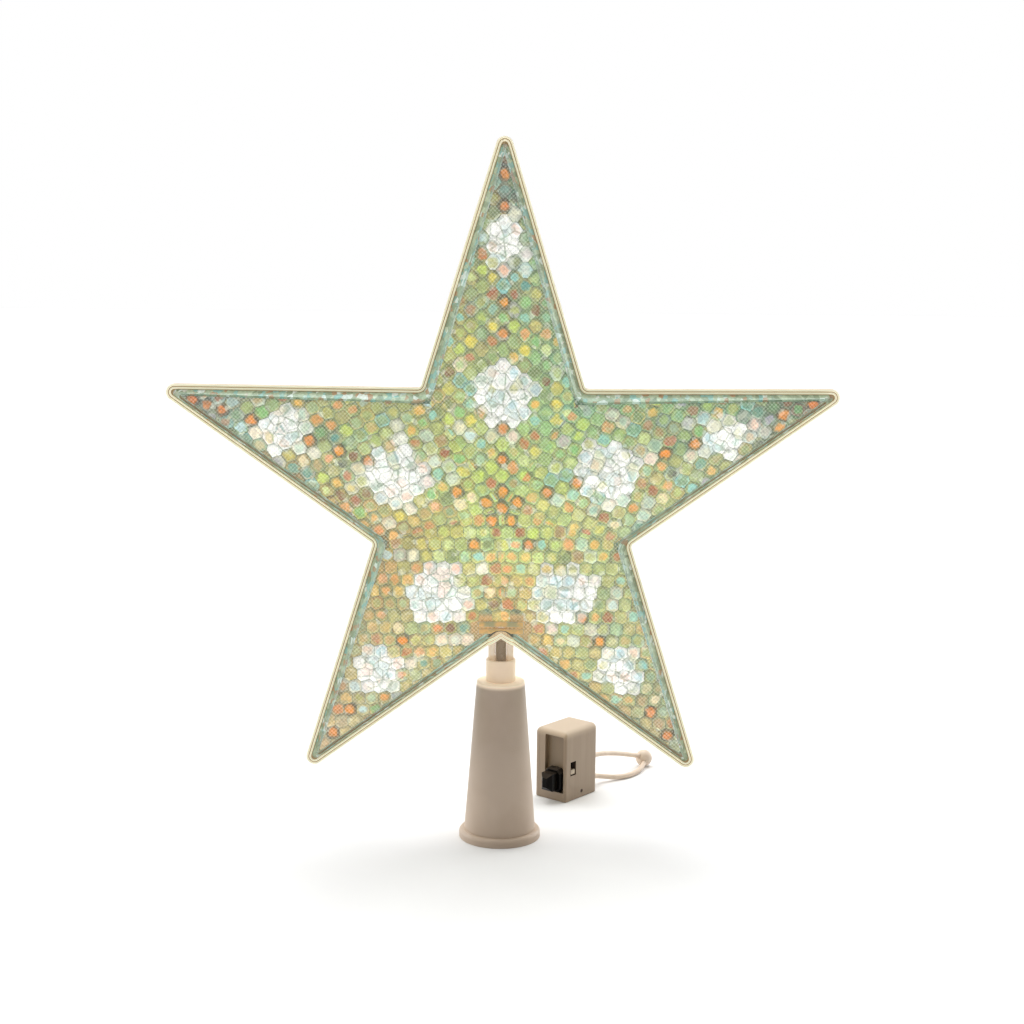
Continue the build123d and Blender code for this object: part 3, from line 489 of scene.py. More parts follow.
class Facet:
    """Half of one arm: the triangle from the centre to a tip and a notch beside it."""

    def __init__(self, tip, notch):
        self.tip = tip
        self.notch = notch
        self.along = tip.normalized()
        self.across = square_to(self.along, -notch)
        self.valley_out = square_to(notch.normalized(), tip)
        inward = square_to((tip - notch).normalized(), tip)
        self.rim_point = notch + inward * (FILM_INSET + NOTCH_DEPTH * SIDE_LEAN)
        rim_line = tip + inward * (FILM_INSET + TIP_DEPTH * SIDE_LEAN) - self.rim_point
        self.rim_out = square_to(rim_line, inward).normalized()
        self.normal = self.facing()

    def shares(self, place):
        """How much of the tip and of the notch there is in a place."""
        whole = self.tip.cross(self.notch)
        return place.cross(self.notch) / whole, self.tip.cross(place) / whole

    def depth(self, place):
        """How far the facet stands out of the star's middle plane at a place."""
        to_tip, to_notch = self.shares(place)
        return APEX_DEPTH + (TIP_DEPTH - APEX_DEPTH) * to_tip + (NOTCH_DEPTH - APEX_DEPTH) * to_notch

    def facing(self):
        here = self.depth(Vector((0, 0)))
        slope_x = self.depth(Vector((1, 0))) - here
        slope_z = self.depth(Vector((0, 1))) - here
        return Vector((-slope_x, -1, -slope_z)).normalized()

    def rim_gap(self, place):
        """How far inside the film's border a place is."""
        return (self.rim_point - place).dot(self.rim_out)

    def valley_gap(self, place):
        """How far a place is from the valley beside the next arm."""
        return -place.dot(self.valley_out)


FACETS = [(Facet(tip, NOTCHES[index - 1]), Facet(tip, NOTCHES[index])) for index, tip in enumerate(TIPS)]
ALL_FACETS = [facet for pair in FACETS for facet in pair]
print("arms:", len(FACETS), "facets:", len(ALL_FACETS))

# %% [markdown]
# ## Where the lamps shine
# Each arm holds two lamps on its ridge. The film around each one burns out to white, so the cells need the
# lamps' places and how far each bright patch reaches.

# %% Lamp places
INNER_REACH = 55.0
OUTER_REACH = [128.0, 114.0, 104.0, 104.0, 114.0]
INNER_PATCH = 19.0
OUTER_PATCH = 14.0
LAMPS = []
for tip, outer in zip(TIPS, OUTER_REACH):
    LAMPS.append((tip.normalized() * INNER_REACH, INNER_PATCH))
    LAMPS.append((tip.normalized() * outer, OUTER_PATCH))
print("lamps:", len(LAMPS))


def lamp_glow(place, spread=1.0):
    """1 over a lamp, falling to 0 at the edge of its bright patch, or beyond it with more spread."""
    return max(max(0.0, 1 - (place - lamp).length / (reach * spread)) for lamp, reach in LAMPS)


# %% [markdown]
# ## Lens tiles
# Each half star is moulded with hundreds of small lenses, set in staggered rows along every arm, mirrored
# about its ridge and packed edge to edge like a honeycomb. A tile starts as one six-sided face that fills its
# share of the rows. Insetting that face and pulling the new ring round makes a raised disc in a bevelled
# frame, with two dozen faces to copy to each place.

# %% Lens tile
ROW_STEP = 7.65
ROW_GAP = 5.26
TILE_SHARE = 0.97
TILE_FRAME = 0.5
LENS_RADIUS = 2.6
LENS_HEIGHT = 0.3
DISC_REACH = 0.7
FLAT = TILE_SHARE * ROW_STEP / 2
POINT = TILE_SHARE * ((ROW_STEP / 2) ** 2 / ROW_GAP + ROW_GAP) / 2
SHOULDER = TILE_SHARE * ROW_GAP - POINT
TILE_CORNERS = [
    (FLAT, SHOULDER), (0, POINT), (-FLAT, SHOULDER), (-FLAT, -SHOULDER), (0, -POINT), (FLAT, -SHOULDER),
]


def make_tile():
    tile = bmesh.new()
    tile.faces.new([tile.verts.new((x, y, 0)) for x, y in TILE_CORNERS])
    bmesh.ops.subdivide_edges(tile, edges=tile.edges[:], cuts=1)
    disc = tile.faces[:][0]
    inset(tile, disc, TILE_FRAME)
    for vert in disc.verts:
        vert.co = vert.co.normalized() * LENS_RADIUS + Vector((0, 0, LENS_HEIGHT))
    bmesh.ops.poke(tile, faces=[disc])
    reach = tile.verts.layers.float.new("lens_reach")
    for vert in tile.verts:
        raised = vert.co.z > LENS_HEIGHT / 2
        vert[reach] = DISC_REACH * vert.co.xy.length / LENS_RADIUS if raised else 1.0
    return finished_mesh(tile, "lens_tile")


lens_tile = make_tile()
print("faces on a tile:", len(lens_tile.polygons))

# %% [markdown]
# ## Colours of the cells
# Every place has a ground tone, mixed from the tones at the star's centre, at the nearest tip and at the
# nearest notch: lime in the middle, warm in the legs, grey-teal at the tips. Each cell then draws a disc and
# a frame that lean away from that ground, about half of them faintly and the rest strongly. Every second cell
# on a ridge is an orange dot with a dark halo. Near a lamp the frames turn white round tinted discs, with a
# fringe of half-lit cells beyond. The draw is seeded, so it comes out the same each time.

# %% Ground tones
CENTRE_GROUND = srgb(192, 218, 116)
TIP_GROUNDS = tones((94, 103, 104), (86, 108, 108), (170, 168, 138), (190, 172, 144), (126, 139, 138))
NOTCH_GROUNDS = tones((116, 178, 134), (176, 184, 128), (196, 166, 98), (172, 128, 72), (172, 168, 100))


def blend(one, two, share):
    return tuple(a + (b - a) * share for a, b in zip(one, two))


def ground_tone(place, facet):
    to_tip, to_notch = facet.shares(place)
    ground = blend(CENTRE_GROUND, TIP_GROUNDS[TIPS.index(facet.tip)], min(1.0, to_tip * 1.1))
    return blend(ground, NOTCH_GROUNDS[NOTCHES.index(facet.notch)], max(0.0, min(1.0, to_notch)))


# %% Cell palettes
ORANGE = tones((242, 160, 54), (236, 148, 48), (228, 144, 64))
SUNNY = tones(
    (232, 212, 74), (200, 220, 92), (238, 186, 82), (138, 196, 116), (146, 208, 190),
    (172, 130, 84), (214, 226, 150), (228, 164, 98), (120, 136, 84),
)
WARM = tones(
    (238, 168, 116), (224, 146, 84), (238, 198, 104), (176, 172, 100), (152, 206, 186),
    (244, 222, 176), (196, 122, 88), (234, 180, 98), (136, 158, 112),
)
COOL = tones(
    (90, 154, 144), (138, 204, 200), (190, 222, 226), (208, 190, 84), (198, 116, 86),
    (94, 98, 90), (116, 162, 102), (172, 108, 82), (178, 172, 190),
)
DOTS = tones((194, 124, 70), (170, 104, 64), (222, 158, 82), (138, 98, 66))
WHITE = srgb(255, 255, 252)
LAMP_TONES = tones((186, 220, 226), (206, 204, 132), (246, 214, 196), (168, 190, 170), (204, 226, 214))
DARK = srgb(96, 74, 50)
FAR_RED = srgb(184, 96, 82)


def palette_at(place, facet, draw):
    """Mostly cool cells towards the tips, warm ones in the lower arms and sunny ones in the middle."""
    toward_tip = place.length / facet.tip.length
    if draw.random() < (toward_tip - 0.3) * 1.6:
        return COOL if place.y > -20 or draw.random() < 0.45 else WARM
    return WARM if facet.normal.z < 0 and draw.random() < 0.7 or place.y < -30 else SUNNY


# %% Cell colours
FRINGE = 1.5
BROWN_DOTS = 0.1
TEAL_RINGS = 0.975
STRONG_CELLS = 0.45


def cell_colours(place, facet, on_ridge, draw):
    """Disc, frame and ground of one cell, and how small its disc is."""
    ground = ground_tone(place, facet)
    palette = palette_at(place, facet, draw)
    kind = draw.random()
    if on_ridge == "dot":
        redder = max(0.0, place.length / facet.tip.length - 0.6) * 1.5
        disc = blend(draw.choice(ORANGE), FAR_RED, min(1.0, redder))
        frame_tone, ground = blend(ground, DARK, 0.85), blend(ground, DARK, 0.6)
    elif kind < BROWN_DOTS:
        disc = draw.choice(DOTS)
        frame_tone = blend(ground, DARK, 0.45)
    elif kind > TEAL_RINGS and place.y > 0:
        disc, frame_tone = blend(ground, COOL[0], 0.5), COOL[1]
    else:
        if draw.random() < STRONG_CELLS:
            strength = 0.75 + 0.25 * draw.random()
        else:
            strength = 0.1 + 0.4 * draw.random()
        disc = blend(ground, draw.choice(palette), strength)
        frame_tone = blend(ground, draw.choice(palette), 0.6 * draw.random())
        frame_tone = blend(frame_tone, DARK, 0.5 * draw.random())
    glow = lamp_glow(place)
    if lamp_glow(place, FRINGE) > 0 and draw.random() < 0.22 + 2 * glow:
        lit = WHITE if draw.random() < 0.4 else draw.choice(LAMP_TONES)
        disc = blend(disc, lit, min(1.0, 0.5 + 1.5 * glow))
        frame_tone = blend(frame_tone, WHITE, min(0.95, 0.35 + 1.7 * glow))
        ground = blend(ground, WHITE, min(0.9, 0.25 + 1.7 * glow))
    smaller = 1.12 if on_ridge == "dot" else 0.85 + 0.4 * draw.random()
    return disc, frame_tone, ground, smaller


# %% [markdown]
# ## Laying the tiles
# Each arm's rows start a little way from the centre. A tile lies on its facet, turned along the arm. One that
# crosses the film's border or the valley beside the next arm is cut off there with a plane, as the moulded
# pattern is on the real shell, so the mosaic fills the whole face.

# %% Cell places
FIRST_LENS = 8.0
FILM_DROP = 1.9
FILM_SHIFT = 0.1
TILE_LIFT = 0.03
TILE_REACH = 4.1
LEAST_INSIDE = -2.4
NECK_HALF = 14.0
NECK_TOP = -56.0
RIDGE_CELLS = range(40)
ROWS = range(1, 16)
CELLS_IN_ROW = range(-12, 40)


def fits(place, facet):
    beside_neck = abs(place.x) < NECK_HALF and place.y < NECK_TOP
    return min(facet.rim_gap(place), facet.valley_gap(place)) > LEAST_INSIDE and not beside_neck


def cell_places():
    """Every cell as its place on the star, its facets and what it is on a ridge, if it sits on one."""
    cells = [(Vector((0, 0)), FACETS[0], "dot")]
    for left, right in FACETS:
        for number in RIDGE_CELLS:
            place = left.along * (FIRST_LENS + number * ROW_STEP)
            if min(left.rim_gap(place), right.rim_gap(place)) > LEAST_INSIDE:
                cells.append((place, (left, right), "plain" if number % 2 else "dot"))
        for facet in (left, right):
            for row in ROWS:
                start = FIRST_LENS + (ROW_STEP / 2 if row % 2 else 0)
                for number in CELLS_IN_ROW:
                    place = facet.along * (start + number * ROW_STEP) + facet.across * row * ROW_GAP
                    if fits(place, facet):
                        cells.append((place, (facet,), ""))
    return cells


CELLS = cell_places()
print("cells on a face:", len(CELLS))

# %% [markdown]
# ## The prismatic film
# The film is a thin sheet under the facets. A copy of the model's film, set back by a tenth of a millimetre,
# carries the tiles on its outer side. The back of the star is the same film turned round, with room left
# for the lamp holders and the lead gland that come through it.

# %% Tiles on the film
FRONT, BACK = -1, 1
HOLDER_ROOM = 7.8
GLAND_PLACE = Vector((0, -36.0))
GLAND_ROOM = (11.5, 9.5)
CUT_SNAP = 1e-5


def covered(place, side):
    """Whether a holder or the gland on the back takes the room of a tile."""
    near_lamp = min((place - lamp).length for lamp, _ in LAMPS) < HOLDER_ROOM
    away = place - GLAND_PLACE
    near_gland = abs(away.x) < GLAND_ROOM[0] and abs(away.y) < GLAND_ROOM[1]
    return side == BACK and (near_lamp or near_gland)


def tile_seat(place, facets, side):
    """Lays a tile on the film, with its length along the arm."""
    normal = sum((facet.normal for facet in facets), Vector()).normalized()
    outward = Vector((normal.x, -side * normal.y, normal.z))
    along = Vector((facets[0].along.x, 0, facets[0].along.y))
    along = (along - along.project(outward)).normalized()
    turn = Matrix((along, outward.cross(along), outward)).transposed().to_4x4()
    depth = facets[0].depth(place) - FILM_DROP - FILM_SHIFT + TILE_LIFT
    return Matrix.Translation((place.x, side * depth, place.y + CENTRE_Z)) @ turn


def cut_off(shape, point, out):
    """Cuts away what lies beyond a plane."""
    everything = shape.verts[:] + shape.edges[:] + shape.faces[:]
    bmesh.ops.bisect_plane(
        shape, geom=everything, dist=CUT_SNAP, clear_outer=True, plane_co=point, plane_no=out,
    )


def trim(tile, place, facets, on_ridge):
    """Cuts a tile off at the film's border and at the valley."""
    for facet in facets:
        lines = [(facet.rim_point, facet.rim_out, facet.rim_gap(place))]
        if not on_ridge:
            lines.append((Vector((0, 0)), facet.valley_out, facet.valley_gap(place)))
        for point, out, gap in lines:
            if gap < TILE_REACH:
                cut_off(tile, (point.x, 0, point.y + CENTRE_Z), (out.x, 0, out.y))


# %% Attributes of the film
LENS_LAYERS = ("lens_tone", "lens_frame", "lens_ground")
# Painted shade: the sheet between the tiles is a dark grey-green, so the gaps between tiles read as dark
# lines.
SHEET_RING = srgb(92, 124, 108)


def facet_at(place):
    """The facet that a place lies on."""
    return max(ALL_FACETS, key=lambda facet: facet.along.dot(place) + 0.05 * facet.across.dot(place))


def paint(part, facets, colours, reach_value=None):
    """Writes a cell's colours, and how far each vertex is from the film's border, as attributes."""
    layers = part.verts.layers
    colour_layers = [layers.float_color.new(name) for name in LENS_LAYERS]
    gap_layer = layers.float.new("rim_gap")
    reach = layers.float.get("lens_reach") or layers.float.new("lens_reach")
    for vert in part.verts:
        place = Vector((vert.co.x, vert.co.z - CENTRE_Z))
        here = facets or [facet_at(place)]
        vert[gap_layer] = min(facet.rim_gap(place) for facet in here)
        painted = colours or (SHEET_RING, SHEET_RING, ground_tone(place, here[0]))
        for layer, tone in zip(colour_layers, painted):
            vert[layer] = tone
        if reach_value is not None:
            vert[reach] = reach_value


def shrink_disc(tile, share):
    reach = tile.verts.layers.float["lens_reach"]
    for vert in tile.verts:
        vert[reach] = min(1.0, vert[reach] * share)


# %% Film mesh
SHEET_REACH = 2.0
SAME_POINT = 1e-6


def add_part(whole, part):
    """Moves one bmesh into another, by way of a mesh."""
    mesh = finished_mesh(part, "film_part")
    whole.from_mesh(mesh)
    bpy.data.meshes.remove(mesh)


def film_sheet(node, side):
    """The model's own film, set back a little to carry the tiles."""
    sheet = bmesh.new()
    sheet.from_mesh(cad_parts[node].data)
    bmesh.ops.remove_doubles(sheet, verts=sheet.verts, dist=SAME_POINT)
    bmesh.ops.scale(sheet, vec=(1 / MM, 1 / MM, 1 / MM), verts=sheet.verts)
    bmesh.ops.translate(sheet, vec=(0, -side * FILM_SHIFT, 0), verts=sheet.verts)
    paint(sheet, None, None, SHEET_REACH)
    return sheet


def film_mesh(node, side, seed):
    """A tile at each cell, plus the sheet that carries them."""
    draw = random.Random(seed)
    film = bmesh.new()
    for place, facets, on_ridge in CELLS:
        *colours, smaller = cell_colours(place, facets[0], on_ridge, draw)
        if covered(place, side):
            continue
        tile = bmesh.new()
        tile.from_mesh(lens_tile)
        bmesh.ops.transform(tile, matrix=tile_seat(place, facets, side), verts=tile.verts)
        trim(tile, place, facets, on_ridge)
        paint(tile, facets, colours)
        shrink_disc(tile, smaller)
        add_part(film, tile)
    add_part(film, film_sheet(node, side))
    bmesh.ops.scale(film, vec=(MM, MM, MM), verts=film.verts)
    return finished_mesh(film, node.replace("film", "prism_film"))


def add_film(node, side, seed, material):
    mesh = film_mesh(node, side, seed)
    mesh.materials.append(material)
    film = add_object(mesh.name, mesh)
    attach(film, "star")
    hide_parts(node)
    print(mesh.name, "faces:", len(mesh.polygons))


# %% [markdown]
# ## Finish of the film
# Lit from behind, the film sends out its own colours. On a tile the colour goes from its disc to its frame,
# with a ragged line between them. A cell texture breaks the frames into tiny prisms with white and dark
# flecks, and over all of it lies the fine mesh of the film's grooves. Close to the border the film is darker,
# and round each lamp it flares to pale bubbles. The same colours feed the emission.

# %% Film patterns
MESH_PERIOD = 2.0
PRISM = 2.6
BUBBLE = 6.8


def grooves_of(finish, x, z):
    """Fine crossed grooves, from -1 to 1."""
    waves = []
    for run in (x, z):
        phase = run * (2 * math.pi / MESH_PERIOD)
        waves.append(finish.node("ShaderNodeMath", {"operation": "SINE"}, {0: phase}))
    return waves[0] * waves[1]


def prisms(finish, size, channel=0, drawn_out=1.0):
    """A random value on each of many small patches of a size in millimetres, drawn out along the depth."""
    sockets = {"Vector": finish.stretched(1, 1 / drawn_out, 1), "Scale": 1 / (size * MM)}
    patches = finish.node("ShaderNodeTexVoronoi", None, sockets, "Color")
    return finish.node("ShaderNodeSeparateColor", None, {"Color": patches}, channel)


def near_lamps(finish, x, z):
    """1 in the flare round a lamp, which is lamp_glow with an uneven edge."""
    flat = finish.node("ShaderNodeCombineXYZ", None, {"X": x, "Z": z})
    glow = None
    for lamp, reach in LAMPS:
        sockets = {0: flat, 1: (lamp.x, 0, lamp.y)}
        away = finish.node("ShaderNodeVectorMath", {"operation": "DISTANCE"}, sockets, "Value")
        here = 1 - away / reach
        glow = here if glow is None else glow.most(here)
    return (glow + 0.9 * (finish.grain(5.0, 1.0) - 0.5)).between(0.1, 0.45)


def bubbles(finish):
    """White and pale bubbles with a thin grey-green line between them."""
    edge = finish.node(
        "ShaderNodeTexVoronoi", {"feature": "DISTANCE_TO_EDGE"},
        {"Vector": finish.spot(), "Scale": 1 / (BUBBLE * MM)}, "Distance",
    )
    kind = prisms(finish, BUBBLE, 1)
    pale = finish.mix(kind.between(0.52, 0.56), srgb(255, 255, 250), srgb(200, 222, 220))
    pale = finish.mix(kind.between(0.78, 0.82), pale, srgb(212, 212, 160))
    pale = finish.mix(kind.between(0.9, 0.93), pale, srgb(244, 216, 196))
    return finish.mix(edge.between(0.02, 0.08), srgb(132, 146, 118), pale)


# %% Film finish
def attribute(finish, name, out):
    return finish.node("ShaderNodeAttribute", {"attribute_name": name}, None, out)


def cell_colour(finish, ragged):
    """The colour of a cell from its disc to its frame, before any shading."""
    tone, frame_tone, ground = [attribute(finish, name, "Color") for name in LENS_LAYERS]
    large, tint, fleck = [prisms(finish, PRISM, channel) for channel in range(3)]
    cool_or_warm = finish.mix(tint, srgb(122, 186, 164), srgb(238, 196, 108))
    prism = finish.mix(0.4 * large, finish.times(ground, 0.72 + 0.62 * large), cool_or_warm)
    prism = finish.mix(0.75 * fleck.between(0.86, 0.89), prism, srgb(238, 242, 220))
    prism = finish.mix(0.6 * fleck.between(0.14, 0.11), prism, srgb(92, 84, 56))
    outer = finish.mix(0.12 + 0.55 * tint, frame_tone, prism)
    disc = finish.mix(0.3 * large, tone, prism)
    return finish.mix(ragged.between(0.86, 0.5), outer, disc)


def film_finish():
    finish = new_finish("prism_film")
    reach = attribute(finish, "lens_reach", "Fac")
    gap = attribute(finish, "rim_gap", "Fac")
    x = finish.along("X")
    z = finish.along("Z") - CENTRE_Z
    ragged = reach + (finish.grain(2.8, 2.0) - 0.5)
    colour = cell_colour(finish, ragged)
    beside_neck = abs(x).between(NECK_HALF + 3, NECK_HALF) * z.between(NECK_TOP + 2, NECK_TOP - 0.5)
    bare = finish.mix(prisms(finish, PRISM), srgb(216, 172, 110), srgb(178, 154, 98))
    colour = finish.mix(beside_neck * reach.between(1.3, 1.7), colour, bare)
    # Painted light and shade: facets and domes that point up are made darker and those that point down paler.
    colour = finish.times(colour, 1 - 0.55 * finish.facing("Z"))
    colour = finish.mix(0.5 * near_lamps(finish, x, z), colour, bubbles(finish))
    grooves = grooves_of(finish, x, z)
    # Painted shade: the edges of the tiles are darkened, as shade in the gaps between them.
    lines = 0.21 * ragged.between(0.88, 1.06)
    border = 0.15 * gap.between(1.6, 0.2)
    # Painted shade in the troughs of the fine grooves, and a painted highlight on their crests.
    mesh = finish.grain(8.0, 1.0).between(0.3, 0.7)
    shade = (0.04 + 0.14 * mesh) * grooves.between(0.0, -0.8)
    small = 0.84 + 0.32 * prisms(finish, PRISM / 2)
    colour = finish.times(colour, (1 - lines) * (1 - border) * small * (1 - shade))
    colour = finish.mix((0.08 + 0.16 * mesh) * grooves.between(0.0, 0.9), colour, srgb(246, 248, 232))
    return finish.surface({
        "Base Color": finish.times(colour, 0.45),
        "Roughness": 0.3 + 0.1 * grooves,
        "Normal": finish.bump(grooves, 0.02),
        "Emission Color": colour,
        "Emission Strength": 0.78,
    })


film_material = film_finish()
add_film("front_film", FRONT, seed=11, material=film_material)
add_film("back_film", BACK, seed=23, material=film_material)

# %% [markdown]
# ## The clear shell
# The two half shells are clear plastic. Seen square on, a facet only adds gloss. The leaning side walls catch
# the light inside the star and break it into a fine mosaic, grey-green with flecks of teal, white and brown,
# and the rim is a brown line under its cream beads. Two ribs that hold the neck stand in slots of the film.
# They take the film's tone, with two soft dark dashes, and the opening for the neck is a dark arch of painted
# shade.

# %% Wall mosaic
WALL_PATCH = 2.4
WALL_DEEP = 3.0


def wall_mosaic(finish, x, z):
    """Patches with flecks in them, drawn out along the wall's depth."""
    patch, fleck = [prisms(finish, WALL_PATCH, channel, WALL_DEEP) for channel in range(2)]
    wall = finish.mix(patch, srgb(106, 134, 106), srgb(174, 196, 166))
    wall = finish.mix(fleck.between(0.66, 0.7), wall, srgb(118, 176, 168))
    wall = finish.mix(fleck.between(0.8, 0.84), wall, srgb(206, 222, 214))
    wall = finish.mix(fleck.between(0.9, 0.93), wall, srgb(158, 128, 92))
    aqua = abs(x).between(48, 30) * z.between(-30, -50) * patch.between(0.3, 0.5)
    wall = finish.mix(0.7 * aqua, wall, srgb(172, 216, 206))
    return finish.times(wall, 0.86 + 0.2 * prisms(finish, 1.2) + 0.1 * grooves_of(finish, x, z))


# %% Shell finish
RIBS_MIDDLE = -62.0
RIBS_ACROSS, RIBS_UP = (11.5, 10.9), (1.9, 1.3, 0.3)
DASH_ACROSS, DASH_UP = (5.7, 3.8, 2.2), (-60.1, 1.6, 0.3)
ARCH_MIDDLE = -67.0
ARCH_SPREAD = (40, 15)


def shell_finish():
    """Places round the neck are in millimetres from the star's centre."""
    finish = new_finish("clear_shell")
    x = finish.along("X")
    z = finish.along("Z") - CENTRE_Z
    side = abs(finish.facing("Y")).between(0.85, 0.6)
    rim = abs(finish.along("Y")).between(1.7, 1.45)
    wall = wall_mosaic(finish, x, z)
    under_film = abs(x).between(10.8, 9.5) * z.between(-57.5, -58.5) * z.between(-66.5, -65.0)
    rib = abs(x).between(*RIBS_ACROSS) * abs(z - RIBS_MIDDLE).within(*RIBS_UP)
    like_film = finish.mix(prisms(finish, WALL_PATCH, 0, WALL_DEEP), srgb(216, 172, 110), srgb(186, 160, 104))
    wall = finish.mix(under_film.most(rib), wall, like_film)
    dash = abs(x).within(*DASH_ACROSS) * z.within(*DASH_UP)
    wall = finish.mix(0.6 * dash, wall, srgb(104, 138, 116))
    # Painted shade: a dark arch on the shell where the opening for the neck is.
    over = z - ARCH_MIDDLE
    arch_shade = (x * x / ARCH_SPREAD[0] + over * over / ARCH_SPREAD[1]).between(1.2, 0.9) * side
    wall = finish.mix(0.92 * arch_shade, wall, srgb(52, 58, 54))
    facet = finish.mix(side.most(rib), srgb(240, 246, 240), wall)
    colour = finish.mix(rim, facet, srgb(158, 136, 98))
    return finish.surface({
        "Base Color": colour,
        "Roughness": 0.08 + 0.3 * side + 0.4 * arch_shade,
        "Alpha": (0.05 + 0.55 * side).most(0.9 * rib).most(0.9 * rim).most(0.95 * arch_shade),
        "Specular IOR Level": 0.35,
        # Painted glow: the side walls, ribs and rim send out a share of their own colour, the star's light in
        # them.
        "Emission Color": finish.times(colour, (0.34 * side.most(rib)).most(0.25 * rim)),
        "Emission Strength": 1.0,
    })


dress(shell_finish(), "front_shell", "back_shell")

# %% [markdown]
# ## Rim beads
# Two rounded beads run round the rim on each face of the star, with a brown line of shadow between them.
# The outline is drawn once with rounded corners, inset to make a narrow band, raised and bevelled.

# %% Rim beads
TIP_ROUND = 4.2
NOTCH_ROUND = 2.0
ARC_STEPS = 8
RIM_FACE = 1.4
BEAD_WIDTH = 1.0
BEAD_HEIGHT = 0.5
BEAD_BEVEL = 0.38
BEAD_INSETS = (0.05, 1.45)


def only(kind, items):
    return [item for item in items if isinstance(item, kind)]


def on_star(shape, depth, name):
    """A mesh from a shape drawn in millimetres round the star's centre."""
    bmesh.ops.translate(shape, vec=(0, depth, CENTRE_Z), verts=shape.verts)
    bmesh.ops.scale(shape, vec=(MM, MM, MM), verts=shape.verts)
    return finished_mesh(shape, name)


def outline_face(bm):
    """The star's outline as one face. Each corner is an arc, spun about its own centre."""
    arcs = []
    for number, corner in enumerate(CORNERS):
        back = (CORNERS[number - 1] - corner).normalized()
        onward = (CORNERS[(number + 1) % len(CORNERS)] - corner).normalized()
        half = back.angle(onward) / 2
        radius = TIP_ROUND if number % 2 == 0 else NOTCH_ROUND
        centre = corner + (back + onward).normalized() * radius / math.sin(half)
        start = corner + back * radius / math.tan(half)
        first = bm.verts.new((start.x, 0, start.y))
        turn = math.copysign(math.pi - 2 * half, back.cross(onward))
        spun = bmesh.ops.spin(
            bm, geom=[first], cent=(centre.x, 0, centre.y), axis=(0, 1, 0), angle=turn, steps=ARC_STEPS,
        )
        arcs.append((first, only(bmesh.types.BMVert, spun["geom_last"])[0]))
    for number, (first, _) in enumerate(arcs):
        bm.edges.new((arcs[number - 1][1], first))
    return bmesh.ops.contextual_create(bm, geom=bm.edges[:])["faces"][0]


def make_rim_bead(name, gap, side):
    bead = bmesh.new()
    face = outline_face(bead)
    inset(bead, face, gap)
    bmesh.ops.delete(bead, geom=[other for other in bead.faces if other != face], context="FACES")
    inset(bead, face, BEAD_WIDTH)
    bmesh.ops.delete(bead, geom=[face], context="FACES")
    grown = bmesh.ops.extrude_face_region(bead, geom=list(bead.faces))["geom"]
    top = set(only(bmesh.types.BMFace, grown))
    bmesh.ops.translate(bead, vec=(0, side * BEAD_HEIGHT, 0), verts=only(bmesh.types.BMVert, grown))
    edges = [edge for edge in bead.edges if sum(linked in top for linked in edge.link_faces) == 1]
    bmesh.ops.bevel(
        bead, geom=edges, offset=BEAD_BEVEL, offset_type="OFFSET", affect="EDGES", segments=2, profile=0.5,
        material=-1,
    )
    bmesh.ops.recalc_face_normals(bead, faces=bead.faces)
    return on_star(bead, side * RIM_FACE, name)


# %% [markdown]
# ## Beads over the neck
# Where the round neck comes out of the lowest notch, the beads climb over it and meet in a peak. Each half of
# a band is cut from a tube by two slanting planes and an upright one, and all of them are then thickened.

# %% Saddle over the neck
LOWEST_NOTCH, LEG_TIP = CORNERS[5], CORNERS[4]
SADDLE_RADIUS = 6.5
SADDLE_HEIGHT = 0.35
SADDLE_TUBE = 40.0
SADDLE_SIDES = 48
SADDLE_MERGE = 1e-4


def neck_band(gap, hand):
    """Half of a band round the neck. hand is -1 on the left and 1 on the right."""
    fall = (LEG_TIP - LOWEST_NOTCH).normalized()
    slant = Vector((-fall.y * hand, 0, fall.x))
    peak = Vector((0, 0, LOWEST_NOTCH.y + (gap + BEAD_WIDTH) / slant.z))
    tube = bmesh.new()
    bmesh.ops.create_cone(
        tube, cap_ends=False, segments=SADDLE_SIDES, radius1=SADDLE_RADIUS, radius2=SADDLE_RADIUS,
        depth=SADDLE_TUBE,
    )
    bmesh.ops.translate(tube, vec=(0, 0, LOWEST_NOTCH.y), verts=tube.verts)
    cut_off(tube, peak, slant)
    cut_off(tube, peak - slant * BEAD_WIDTH, -slant)
    cut_off(tube, (0, 0, 0), (-hand, 0, 0))
    return tube


def make_saddle(name):
    saddle = bmesh.new()
    for gap in BEAD_INSETS:
        for hand in (-1, 1):
            add_part(saddle, neck_band(gap, hand))
    bmesh.ops.remove_doubles(saddle, verts=saddle.verts, dist=SADDLE_MERGE)
    bmesh.ops.recalc_face_normals(saddle, faces=saddle.faces)
    bmesh.ops.solidify(saddle, geom=saddle.faces[:], thickness=-SADDLE_HEIGHT)
    bmesh.ops.recalc_face_normals(saddle, faces=saddle.faces)
    return on_star(saddle, 0, name)


# %% Beads on the star
def glowing(name, tone, shade, grain, rough, glow):
    """Plastic that sends out its own colour, in two tones with a soft grain."""
    finish = new_finish(name)
    slow = finish.grain(*grain)
    colour = finish.mix(slow, srgb(*tone), srgb(*shade))
    return finish.surface({
        "Base Color": colour,
        "Roughness": rough + 0.1 * slow,
        "Emission Color": colour,
        "Emission Strength": glow,
    })


# Painted glow: the cream beads send out a little of their own colour, the star's light in them.
rim_cream = glowing("rim_cream", (244, 238, 212), (238, 228, 196), grain=(9, 3.0), rough=0.25, glow=0.3)
bead_meshes = [make_saddle("neck_saddle_bead")]
for side, word in ((FRONT, "front"), (BACK, "back")):
    for number, gap in enumerate(BEAD_INSETS, 1):
        bead_meshes.append(make_rim_bead(f"{word}_rim_bead_{number}", gap, side))
for mesh in bead_meshes:
    mesh.materials.append(rim_cream)
    bead = add_object(mesh.name, mesh)
    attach(bead, "star")
    print(mesh.name, "faces:", len(mesh.polygons))

